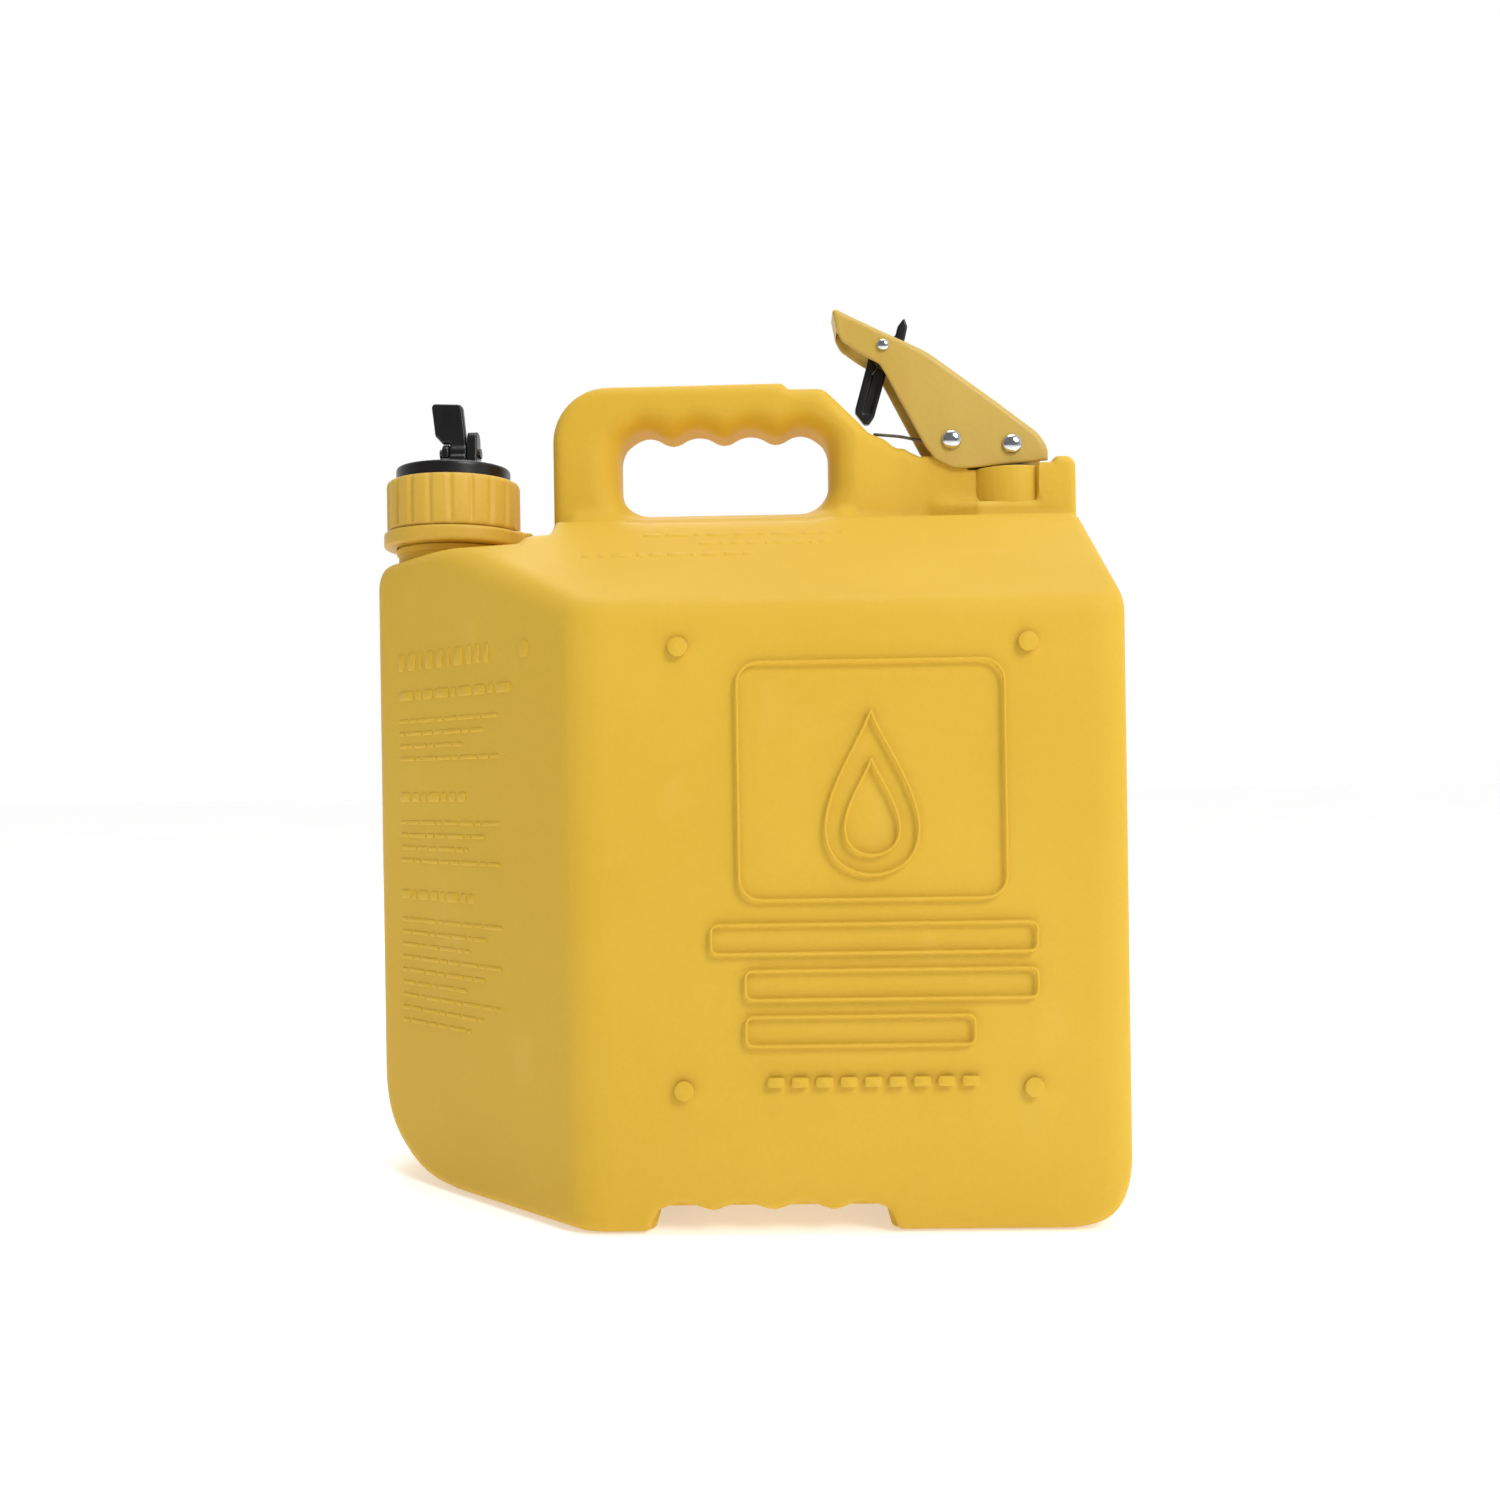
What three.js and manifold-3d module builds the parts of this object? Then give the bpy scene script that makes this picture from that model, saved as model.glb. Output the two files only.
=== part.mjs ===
// Safety gas can: a hollow moulded tank with two openings and a grip moulded in one piece.
// The outlet at the front is closed by a screw ring that holds a stopper with a vent lever.
// The filler at the rear is closed by a sprung lid on a lever, which a swinging catch blocks.
// Millimetres. +X runs from the outlet to the lever, +Z is up, and Y = 0 is the plane of symmetry.
import * as THREE from 'three'
import Module from 'manifold-3d'
import { mergeVertices } from 'three/addons/utils/BufferGeometryUtils.js'

const wasm = await Module()
wasm.setup()

// ---- Driving dimensions ----
const WALL = 4
const GAP = 0.3
const SHEET = 2
const HALF_LENGTH = 170.75
const HALF_WIDTH = 131
const EAVE_Z = 259.5
const RIDGE_Z = 312
const DECK_Z = 300
const FIN_HALF = 21
const FIN_ROOT_Z = 270
const SHELF_Z = 321
const WEB_HALF = 9.8
const ROUND_STEPS = 24

const OUTLET = { x: -135, bore: 22.6, neck: 27.2, rim: 328.6 }
const FILLER = { x: 141.4, bore: 12.4, neck: 20, rim: 338.3, seat: 324, mouth: 15.2 }
const PIVOT = { x: 111.9, z: 352.4 }
const LID_PIN = { x: 29.5, z: -2.7 }
const CATCH_PIN = { x: -32.7, z: 47.1 }
const PIN_RADIUS = 2.5
const PIN_HOLE = 2.8
const CATCH_PIN_RADIUS = 1.6
const CATCH_PIN_HOLE = 1.9
const LEVER_HALF = 12.25
const THUMB_HALF = 10.25

const COLLAR = { inner: 27.8, outer: 34.3, low: 304.5, high: 312.2, lugEnd: 39.8, lugHalf: 6 }
const RING = {
  low: 312.6, high: 337.5, root: 31.6, flank: 32.6, crest: 32.7, ribs: 20,
  bore: 29.6, lip: 28.4, seat: 334.8,
}
const DISC = {
  flange: 29.3, seat: 331.5, flangeTop: 334.4, body: 28, top: 344.5, spigot: 20.8, spigotLow: 326,
}
const VENT_PIN = { z: 352.5, radius: 1.6, hole: 1.9, head: 2.6 }
const VENT_EYE = { left: -1.1, right: 7.4, radius: 4.4 }
const STEM = {
  radius: 2.4, hole: 2.8, low: 322.5, shoulder: 345.2, head: 5.6, top: 346.4, recess: 6.3, recessLow: 338.5,
}

// Plan of the tank, seen from above: corner x, corner y, corner radius.
const TANK_PLAN = [
  [HALF_LENGTH, -HALF_WIDTH, 17],
  [HALF_LENGTH, HALF_WIDTH, 17],
  [-56.75, HALF_WIDTH, 24],
  [-HALF_LENGTH, 17.5, 30],
  [-HALF_LENGTH, -17.5, 30],
  [-56.75, -HALF_WIDTH, 24],
]
// Cross-section of the tank, looking along X: corner y, corner z, corner radius.
const TANK_SECTION = [
  [-HALF_WIDTH, 0, 9],
  [HALF_WIDTH, 0, 9],
  [HALF_WIDTH, EAVE_Z, 12],
  [34, RIDGE_Z, 4],
  [-34, RIDGE_Z, 4],
  [-HALF_WIDTH, EAVE_Z, 12],
]
// Side view of the tank: corner x, corner z, corner radius.
const TANK_SIDE = [
  [-HALF_LENGTH, 0, 52],
  [HALF_LENGTH, 0, 32],
  [HALF_LENGTH, RIDGE_Z + 10, 1],
  [-66, RIDGE_Z + 10, 2],
  [-80, 305.5, 3],
  [-93.75, 305.5, 2],
  [-93.75, DECK_Z, 2],
  [-HALF_LENGTH, 294, 12],
]
// Side view of the fin, which carries the grip in front and the lever's pivot between two ears behind.
const FIN_SIDE = [
  [-82.75, FIN_ROOT_Z, 0],
  [-82.75, 380.3, 27],
  [30.5, 380.8, 1],
  [32.5, 377.8, 1],
  [49.5, 377.8, 6],
  [71.5, 356.5, 3],
  [79.3, 353.9, 2],
  [84.6, 350, 2],
  [89, 349.8, 2],
  [96.5, 345.5, 2],
  [104.4, 345.5, 1],
  [104.4, 359, 6],
  [119.4, 359, 6],
  [119.4, 336, 2],
  [132, 336, 0],
  [132, FIN_ROOT_Z, 0],
]
// In plan the fin is as wide as the grip in front, and thins to a web that fits between the lever's sides.
const FIN_PLAN = [
  [-90, -FIN_HALF], [60, -FIN_HALF], [92, -WEB_HALF], [135, -WEB_HALF],
  [135, WEB_HALF], [92, WEB_HALF], [60, FIN_HALF], [-90, FIN_HALF],
]
// The shelf round the filler neck, with a guard at its rear end.
const SHELF_SIDE = [
  [117, FIN_ROOT_Z, 0],
  [117, SHELF_Z, 1],
  [158.5, SHELF_Z, 1],
  [158.5, 341, 3],
  [HALF_LENGTH, 341, 4],
  [HALF_LENGTH, FIN_ROOT_Z, 0],
]
const FIN_CAVITY_SIDE = [
  [-78.75, FIN_ROOT_Z - 10, 0],
  [-78.75, 376, 18],
  [45, 373.8, 6],
  [67, 352.5, 5],
  [82, 346, 3],
  [92, 341, 2],
  [112, 341, 2],
  [112, FIN_ROOT_Z - 10, 0],
]
const FIN_CAVITY_PLAN = [
  [-90, WALL - FIN_HALF], [58, WALL - FIN_HALF], [92, WALL - WEB_HALF], [115, WALL - WEB_HALF],
  [115, WEB_HALF - WALL], [92, WEB_HALF - WALL], [58, FIN_HALF - WALL], [-90, FIN_HALF - WALL],
]
const EAR_SLOT = { front: 99, rear: 125, half: 7.2, floor: 344.6 }
const GRIP = {
  left: -51, right: 52, bottom: 318, top: 358.5, corner: 14, waves: 4, pitch: 25.8, height: 2.25,
}
const NOTCH = {
  left: -26.75, right: 67.25, ceiling: 9.8, flare: 4, scoops: 4, pitch: 25, radius: 14, reach: 9,
}

// ---- Helpers: outlines ----
function insetCorners(corners, amount) {
  const count = corners.length
  const edges = corners.map(([x, y], i) => {
    const [nextX, nextY] = corners[(i + 1) % count]
    const length = Math.hypot(nextX - x, nextY - y)
    const normal = [-(nextY - y) / length, (nextX - x) / length]
    return { normal, offset: normal[0] * x + normal[1] * y + amount }
  })
  return corners.map(([, , radius], i) => {
    const a = edges[(i + count - 1) % count]
    const b = edges[i]
    const det = a.normal[0] * b.normal[1] - a.normal[1] * b.normal[0]
    const x = (a.offset * b.normal[1] - b.offset * a.normal[1]) / det
    const y = (a.normal[0] * b.offset - b.normal[0] * a.offset) / det
    return [x, y, Math.max(radius - amount, 0.5)]
  })
}

// Points of a closed outline whose corners are rounded with arcs.
function roundedPoints(corners, stepsPerTurn = ROUND_STEPS) {
  const points = []
  corners.forEach(([x, y, radius], i) => {
    const corner = new THREE.Vector2(x, y)
    const before = corners[(i + corners.length - 1) % corners.length]
    const after = corners[(i + 1) % corners.length]
    const inward = new THREE.Vector2(before[0], before[1]).sub(corner).normalize()
    const outward = new THREE.Vector2(after[0], after[1]).sub(corner).normalize()
    const half = Math.acos(THREE.MathUtils.clamp(inward.dot(outward), -1, 1)) / 2
    if (radius === 0) {
      points.push(corner)
      return
    }
    const reach = radius / Math.tan(half)
    const middle = inward.clone().add(outward).normalize().multiplyScalar(radius / Math.sin(half)).add(corner)
    const start = inward.multiplyScalar(reach).add(corner).sub(middle)
    const end = outward.multiplyScalar(reach).add(corner).sub(middle)
    const sweep = Math.atan2(start.cross(end), start.dot(end))
    const steps = Math.max(1, Math.round((Math.abs(sweep) / (2 * Math.PI)) * stepsPerTurn))
    for (let k = 0; k <= steps; k++) {
      points.push(start.clone().rotateAround(new THREE.Vector2(), (sweep * k) / steps).add(middle))
    }
  })
  return points
}

const straight = (pairs) => pairs.map(([x, y]) => new THREE.Vector2(x, y))

// ---- Helpers: solids ----
function solid(geometry) {
  const bare = geometry.clone()
  bare.deleteAttribute('normal')
  bare.deleteAttribute('uv')
  const merged = mergeVertices(bare, 1e-4)
  return new wasm.Manifold(new wasm.Mesh({
    numProp: 3,
    vertProperties: new Float32Array(merged.attributes.position.array),
    triVerts: new Uint32Array(merged.index.array),
  }))
}

function geometryOf(body) {
  const mesh = body.getMesh()
  const geometry = new THREE.BufferGeometry()
  geometry.setAttribute('position', new THREE.BufferAttribute(new Float32Array(mesh.vertProperties), 3))
  geometry.setIndex(new THREE.BufferAttribute(new Uint32Array(mesh.triVerts), 1))
  geometry.computeVertexNormals()
  return geometry
}

const extrude = (points, depth) =>
  new THREE.ExtrudeGeometry(new THREE.Shape(points), { depth, bevelEnabled: false, curveSegments: 8 })

// An outline in (x, y), raised from z = low to z = high.
const prismZ = (points, low, high) => solid(extrude(points, high - low).translate(0, 0, low))

// An outline in (x, z), carried from y = low to y = high.
const prismY = (points, low, high) =>
  solid(extrude(points, high - low).rotateX(Math.PI / 2).translate(0, high, 0))

// An outline in (y, z), carried from x = low to x = high.
function prismX(points, low, high) {
  const turn = new THREE.Matrix4().set(0, 0, 1, 0, 1, 0, 0, 0, 0, 1, 0, 0, 0, 0, 0, 1)
  return solid(extrude(points, high - low).applyMatrix4(turn).translate(low, 0, 0))
}

// A turned body about the vertical axis through (x, y), from [radius, z] pairs that rise.
function turned(profile, x = 0, y = 0, segments = ROUND_STEPS * 2) {
  const lathe = new THREE.LatheGeometry(straight(profile), segments)
  return solid(lathe.rotateX(Math.PI / 2).translate(x, y, 0))
}

const tubeZ = (inner, outer, low, high, x = 0, segments = ROUND_STEPS * 2) =>
  turned([[inner, low], [outer, low], [outer, high], [inner, high], [inner, low]], x, 0, segments)

const rodZ = (radius, low, high, x = 0, y = 0, segments = ROUND_STEPS) =>
  turned([[0, low], [radius, low], [radius, high], [0, high]], x, y, segments)

// A round bar along Y through (x, z).
const rodY = (radius, low, high, x, z, segments = ROUND_STEPS) =>
  solid(new THREE.CylinderGeometry(radius, radius, high - low, segments).translate(x, (low + high) / 2, z))

const rodX = (radius, low, high, y, z, segments = ROUND_STEPS) =>
  solid(new THREE.CylinderGeometry(radius, radius, high - low, segments)
    .rotateZ(Math.PI / 2).translate((low + high) / 2, y, z))

const box = (x0, x1, y0, y1, z0, z1) =>
  solid(new THREE.BoxGeometry(x1 - x0, y1 - y0, z1 - z0)
    .translate((x0 + x1) / 2, (y0 + y1) / 2, (z0 + z1) / 2))

// Round wire along a smooth path through the points.
function wire(points, radius, steps, sides = 6) {
  const path = new THREE.CatmullRomCurve3(points, false, 'centripetal')
  const circle = new THREE.Shape()
  for (let k = 0; k < sides; k++) {
    const angle = (2 * Math.PI * k) / sides
    const place = [radius * Math.cos(angle), radius * Math.sin(angle)]
    if (k === 0) circle.moveTo(...place)
    else circle.lineTo(...place)
  }
  return solid(new THREE.ExtrudeGeometry(circle, { steps, extrudePath: path, bevelEnabled: false }))
}

// A domed rivet along Y: a shank between two round heads that sit outside |y| = seat.
function rivet(shank, head, dome, seat, x, z) {
  const arc = []
  for (let k = 0; k <= 4; k++) {
    const angle = (Math.PI / 2) * (k / 4)
    arc.push([head * Math.cos(angle), seat + dome * Math.sin(angle)])
  }
  const half = [[shank, seat], ...arc.slice(0, -1), [0, seat + dome]]
  const lower = half.map(([r, y]) => [r, -y]).reverse()
  return solid(new THREE.LatheGeometry(straight([...lower, ...half]), 16).translate(x, 0, z))
}

const about = (centre, pairs) => straight(pairs.map(([x, z]) => [centre.x + x, centre.z + z]))

// ---- Finishes ----
const finish = (color, roughness, metalness = 0) => ({ color, roughness, metalness })
const YELLOW = finish(0xe0b83c, 0.45)
const RING_YELLOW = finish(0xd9b04a, 0.5)
const LEVER_YELLOW = finish(0xd9b55a, 0.4, 0.1)
const BLACK = finish(0x161414, 0.4)
const RUBBER = finish(0x222222, 0.8)
const CHROME = finish(0xd8dade, 0.15, 1)
const STEEL = finish(0x9a9c9f, 0.35, 1)
const MESH_STEEL = finish(0xa8aaac, 0.5, 1)

const can = new THREE.Group()

function add(name, body, look) {
  const mesh = new THREE.Mesh(geometryOf(body), new THREE.MeshStandardMaterial(look))
  mesh.name = name
  can.add(mesh)
}

// ---- Tank ----
// The tank is where its plan, its cross-section and its side view all meet.
function tankShell(inset) {
  const reach = HALF_LENGTH + WALL
  const plan = prismZ(roundedPoints(insetCorners(TANK_PLAN, inset)), -WALL, RIDGE_Z + 10)
  const section = prismX(roundedPoints(insetCorners(TANK_SECTION, inset)), -reach, reach)
  const side = prismY(roundedPoints(insetCorners(TANK_SIDE, inset)), -HALF_WIDTH - WALL, HALF_WIDTH + WALL)
  return plan.intersect(section).intersect(side)
}

// The finger hole: a rounded window with finger waves along its top.
function gripOutline(grow) {
  const window = roundedPoints([
    [GRIP.left - grow, GRIP.bottom - grow, GRIP.corner + grow],
    [GRIP.right + grow, GRIP.bottom - grow, GRIP.corner + grow],
    [GRIP.right + grow, GRIP.top + grow, GRIP.corner + grow],
    [GRIP.left - grow, GRIP.top + grow, GRIP.corner + grow],
  ])
  const upper = GRIP.top + grow - 0.01
  const below = window.filter((point) => point.y < upper)
  const turn = below.findIndex((point, i) =>
    i > 0 && point.x < 0 && below[i - 1].x > 0 && point.y > GRIP.bottom + 1)
  const middle = (GRIP.left + GRIP.right) / 2
  const half = (GRIP.waves * GRIP.pitch) / 2 - 11
  const steps = GRIP.waves * 8
  const crest = []
  for (let k = 0; k <= steps; k++) {
    const x = middle + half - (2 * half * k) / steps
    const phase = (2 * Math.PI * (x - middle)) / GRIP.pitch
    crest.push(new THREE.Vector2(x, GRIP.top + grow - GRIP.height * Math.cos(phase)))
  }
  return [...below.slice(0, turn), ...crest, ...below.slice(turn)]
}

function notchOutline(grow) {
  return straight([
    [NOTCH.left - NOTCH.flare - grow, -WALL],
    [NOTCH.right + NOTCH.flare + grow, -WALL],
    [NOTCH.right + grow, NOTCH.ceiling + grow],
    [NOTCH.left - grow, NOTCH.ceiling + grow],
  ])
}

function fingerScoops() {
  const middle = (NOTCH.left + NOTCH.right) / 2
  let scoops = null
  for (const side of [-1, 1]) {
    for (let k = 0; k < NOTCH.scoops; k++) {
      const x = middle + (k - (NOTCH.scoops - 1) / 2) * NOTCH.pitch
      const ends = [side * (HALF_WIDTH - NOTCH.reach), side * (HALF_WIDTH + 5)].sort((a, b) => a - b)
      const scoop = rodY(NOTCH.radius, ends[0], ends[1], x, -1, 20)
      scoops = scoops ? scoops.add(scoop) : scoop
    }
  }
  return scoops
}

function tank() {
  const fin = prismY(roundedPoints(FIN_SIDE), -FIN_HALF, FIN_HALF)
    .intersect(prismZ(straight(FIN_PLAN), FIN_ROOT_Z - 5, 400))
    .add(prismY(roundedPoints(SHELF_SIDE), -FIN_HALF, FIN_HALF))
  const outletNeck = turned([
    [0, 285], [OUTLET.neck, 285], [OUTLET.neck, 301], [29.4, 301], [29.4, 304], [OUTLET.neck, 304],
    [OUTLET.neck, 315.5], [28.6, 317], [28.6, 318.5], [OUTLET.neck, 320],
    [OUTLET.neck, 321.5], [28.6, 323], [28.6, 324.5], [OUTLET.neck, 326], [OUTLET.neck, OUTLET.rim],
    [0, OUTLET.rim],
  ], OUTLET.x)
  const fillerNeck = rodZ(FILLER.neck, 290, FILLER.rim, FILLER.x, 0, ROUND_STEPS * 2)
  const outside = tankShell(0).add(fin).add(outletNeck).add(fillerNeck)

  const finCavity = prismY(roundedPoints(FIN_CAVITY_SIDE), WALL - FIN_HALF, FIN_HALF - WALL)
    .intersect(prismZ(straight(FIN_CAVITY_PLAN), FIN_ROOT_Z - 15, 400))
    .subtract(prismY(gripOutline(WALL), -FIN_HALF, FIN_HALF))
  const cavity = tankShell(WALL)
    .subtract(prismY(notchOutline(2 * WALL), -HALF_WIDTH, HALF_WIDTH))
    .subtract(prismY(gripOutline(WALL), -FIN_HALF - WALL, FIN_HALF + WALL))
    .add(finCavity)
    .add(rodZ(OUTLET.bore, 280, 340, OUTLET.x, 0, ROUND_STEPS * 2))
    .add(rodZ(FILLER.bore, 280, 350, FILLER.x, 0, ROUND_STEPS * 2))
    .add(rodZ(FILLER.mouth, FILLER.seat, 350, FILLER.x, 0, ROUND_STEPS * 2))
  return outside.subtract(cavity)
    .subtract(prismY(gripOutline(0), -FIN_HALF - WALL, FIN_HALF + WALL))
    .subtract(prismY(notchOutline(0), -HALF_WIDTH - WALL, HALF_WIDTH + WALL))
    .subtract(fingerScoops())
    .subtract(box(EAR_SLOT.front, EAR_SLOT.rear, -EAR_SLOT.half, EAR_SLOT.half, EAR_SLOT.floor, 365))
    .subtract(rodY(PIN_HOLE, -FIN_HALF, FIN_HALF, PIVOT.x, PIVOT.z, 16))
}

// ---- Outlet closure ----
function lockCollar() {
  const { inner, outer, low, high, lugEnd, lugHalf } = COLLAR
  const lug = box(OUTLET.x + inner, OUTLET.x + lugEnd, -lugHalf, lugHalf, low + 0.5, high - 0.2)
    .subtract(rodZ(inner + 2, low - 5, high + 5, OUTLET.x))
  return tubeZ(inner, outer, low, high, OUTLET.x).add(lug)
}

function couplingRing() {
  const pitch = (2 * Math.PI) / RING.ribs
  const rib = [[0, RING.root], [0.12, RING.flank], [0.38, RING.crest], [0.64, RING.flank], [0.76, RING.root]]
  const outline = []
  for (let k = 0; k < RING.ribs; k++) {
    for (const [turn, radius] of rib) {
      const angle = (k + turn) * pitch
      outline.push(new THREE.Vector2(radius * Math.cos(angle), radius * Math.sin(angle)))
    }
  }
  const blank = prismZ(outline, RING.low, RING.high).translate([OUTLET.x, 0, 0])
  const bore = turned([
    [0, RING.low - 2], [RING.bore, RING.low - 2], [RING.bore, RING.seat],
    [RING.lip, RING.seat], [RING.lip, RING.high + 2], [0, RING.high + 2],
  ], OUTLET.x)
  return blank.subtract(bore)
}

// The stopper disc, with a spigot below for the flame arrester and two lugs above for the vent pin.
function outletDisc() {
  const disc = turned([
    [0, DISC.seat], [DISC.spigot - 2, DISC.seat], [DISC.spigot - 2, DISC.spigotLow],
    [DISC.spigot, DISC.spigotLow], [DISC.spigot, DISC.seat], [DISC.flange, DISC.seat],
    [DISC.flange, DISC.flangeTop], [DISC.body, DISC.flangeTop], [DISC.body, DISC.top - 1],
    [DISC.body - 1, DISC.top], [0, DISC.top],
  ], OUTLET.x)
  const lug = (x0, x1, top, foot, crown) => prismX(roundedPoints([
    [-foot, DISC.top - 1, 0], [foot, DISC.top - 1, 0],
    [crown, top, crown * 0.95], [-crown, top, crown * 0.95],
  ]), OUTLET.x + x0, OUTLET.x + x1)
  return disc
    .add(lug(7.8, 12.8, 363.3, 7, 4.6))
    .add(lug(-5, -1.5, 356.8, 4.3, 4.3))
    .subtract(rodZ(STEM.recess, STEM.recessLow, DISC.top + 5, OUTLET.x))
    .subtract(rodZ(STEM.hole, 320, DISC.top + 5, OUTLET.x, 0, 16))
    .subtract(ventPinBore())
}

const ventPinBore = () => rodX(VENT_PIN.hole, OUTLET.x - 8, OUTLET.x + 16, 0, VENT_PIN.z, 16)

// The vent lever's eye carries a lobe that presses the stem down as the paddle tilts.
function ventLever() {
  const left = OUTLET.x + VENT_EYE.left
  const right = OUTLET.x + VENT_EYE.right
  const eye = rodX(VENT_EYE.radius, left, right, 0, VENT_PIN.z, 20)
  const lobe = rodX(2.2, left, right, -3.6, VENT_PIN.z - 3, 16)
  const paddle = prismY(roundedPoints([
    [left, VENT_PIN.z + 0.5, 0], [right, VENT_PIN.z + 0.5, 0],
    [OUTLET.x + 7.0, 358, 2], [OUTLET.x + 5.1, 377.1, 1.5], [OUTLET.x - 10.4, 377.7, 1.5],
    [OUTLET.x - 8.6, 361.5, 1.5], [OUTLET.x - 5, 357.8, 1], [left, 357.8, 0],
  ]), -2.6, 2.6)
  return eye.add(lobe).add(paddle).subtract(ventPinBore())
}

function ventPin() {
  const low = OUTLET.x - 5.4
  const high = OUTLET.x + 13.2
  return rodX(VENT_PIN.radius, low, high, 0, VENT_PIN.z, 16)
    .add(rodX(VENT_PIN.head, high - 0.1, high + 0.9, 0, VENT_PIN.z, 16))
    .add(rodX(VENT_PIN.head, low - 1, low + 0.1, 0, VENT_PIN.z, 16))
}

const ventStem = () => turned([
  [0, STEM.low], [STEM.radius, STEM.low], [STEM.radius, STEM.shoulder],
  [STEM.head, STEM.shoulder], [STEM.head, STEM.top], [0, STEM.top],
], OUTLET.x, 0, 16)

function coil(x, z, radius, turns, low, high, stepsPerTurn = 12) {
  const points = []
  const count = turns * stepsPerTurn
  for (let k = 0; k <= count; k++) {
    const angle = (2 * Math.PI * k) / stepsPerTurn
    const y = low + ((high - low) * k) / count
    points.push(new THREE.Vector3(x + radius * Math.cos(angle), y, z + radius * Math.sin(angle)))
  }
  return points
}

function ventSpring() {
  const points = []
  const count = 36
  for (let k = 0; k <= count; k++) {
    const angle = (2 * Math.PI * k) / 12
    const z = 339.4 + (4.9 * k) / count
    points.push(new THREE.Vector3(OUTLET.x + 4.2 * Math.cos(angle), 4.2 * Math.sin(angle), z))
  }
  return wire(points, 0.5, count, 5)
}

// A flame arrester: a basket of fine mesh with a rim, drawn as a thin closed cup.
function basket(x, outer, low, rim, rimRadius) {
  const inner = outer - 0.8
  const profile = [[0, low], [outer, low], [outer, rim - 1.4], [rimRadius, rim - 1.4], [rimRadius, rim]]
  return turned([...profile, [inner, rim], [inner, low + 0.8], [0, low + 0.8]], x, 0, ROUND_STEPS)
}

// ---- Lever, lid and catch ----
const LEVER_SIDE = [
  [-57.7, 67.7], [-55, 54.8], [-52.6, 50.1], [-45.1, 44.7], [-39.6, 41.3], [-34.4, 38.2], [-31.8, 33.7],
  [-13.1, -2.1], [-8, -9.2], [0.7, -13.7], [7.6, -13.8], [47.7, -10.6], [47.4, -4], [42.8, 3.1],
  [21.6, 19.6], [-10.9, 43.9], [-33.9, 55.3],
]
const LEVER_HOLLOW = [
  [-54.8, 30], [-54.8, -30], [60, -30], [60, -16], [42.8, 0.7], [21.6, 17.2], [-10.9, 41.5], [-33.9, 52.9],
  [-54.8, 63.6],
]

function leverPlan(inset) {
  const thumb = THUMB_HALF - inset
  const wide = LEVER_HALF - inset
  return straight([
    [-60, -thumb], [-50, -thumb], [-20, -wide], [62, -wide],
    [62, wide], [-20, wide], [-50, thumb], [-60, thumb],
  ].map(([x, y]) => [PIVOT.x + x, y]))
}

function lever() {
  const outer = prismY(about(PIVOT, LEVER_SIDE), -LEVER_HALF, LEVER_HALF)
    .intersect(prismZ(leverPlan(0), 300, 430))
  const hollow = prismY(about(PIVOT, LEVER_HOLLOW), -LEVER_HALF, LEVER_HALF)
    .intersect(prismZ(leverPlan(SHEET), 300, 430))
  const tabSlot = box(PIVOT.x + CATCH_PIN.x - 9, PIVOT.x + CATCH_PIN.x + 18, -2.9, 2.9, 385, 415)
  return outer.subtract(hollow).subtract(tabSlot)
    .subtract(rodY(PIN_HOLE, -30, 30, PIVOT.x, PIVOT.z, 16))
    .subtract(rodY(PIN_HOLE, -30, 30, PIVOT.x + LID_PIN.x, PIVOT.z + LID_PIN.z, 16))
    .subtract(rodY(CATCH_PIN_HOLE, -30, 30, PIVOT.x + CATCH_PIN.x, PIVOT.z + CATCH_PIN.z, 16))
}

const leverRivet = (pin) =>
  rivet(PIN_RADIUS, 4.8, 2.8, LEVER_HALF + GAP, PIVOT.x + pin.x, PIVOT.z + pin.z)

// The torsion spring winds round the pivot rivet and rests one leg on the step of the fin.
function leverSpring() {
  const turns = coil(PIVOT.x, PIVOT.z, 4.6, 4, -5.5, 5.5)
  const foot = [
    new THREE.Vector3(74.5, -6.5, 357),
    new THREE.Vector3(88, -6.5, 355.6),
    new THREE.Vector3(102, -6.2, 353.2),
    new THREE.Vector3(110.5, -5.9, 356.9),
    new THREE.Vector3(115.6, -5.7, 354.8),
  ]
  const arm = [
    new THREE.Vector3(114.8, 5.7, 356.2),
    new THREE.Vector3(109, 6, 360),
    new THREE.Vector3(99, 6.2, 371),
  ]
  return wire([...foot, ...turns, ...arm], 0.75, 76, 6)
}

// The lid is a plug that sits down inside the filler neck and hangs from the lever by its boss.
function lid() {
  const plate = turned([[0, 326.6], [14.6, 326.6], [14.6, 328.8], [13.8, 329.6], [0, 329.6]], FILLER.x)
  const pin = { x: PIVOT.x + LID_PIN.x, z: PIVOT.z + LID_PIN.z }
  const boss = prismY(roundedPoints([
    [pin.x - 7, 329, 0], [pin.x + 7, 329, 0], [pin.x + 5.5, 354.7, 5], [pin.x - 5.5, 354.7, 5],
  ]), -5, 5)
  return plate.add(boss).subtract(rodY(PIN_HOLE, -30, 30, pin.x, pin.z, 16))
    .subtract(rodZ(1.9, 320, 333, FILLER.x, 0, 12))
}

const gasketScrew = () => turned([
  [0, 321], [3.6, 321], [3.6, 322.4], [1.6, 322.4], [1.6, 332], [0, 332],
], FILLER.x, 0, 12)

const CATCH_SIDE = [
  [-13.4, -28.5], [-13.4, -30.5], [-9, -36.3], [-6.6, -36.3], [-4, -32.6], [1.8, -12.7], [4.9, -5.1],
  [11.5, 4.9], [13.1, 11.9], [11.5, 16.4], [8.1, 12], [6.8, 7.1], [1.5, 5.2], [-5.4, 0.5],
]

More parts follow.
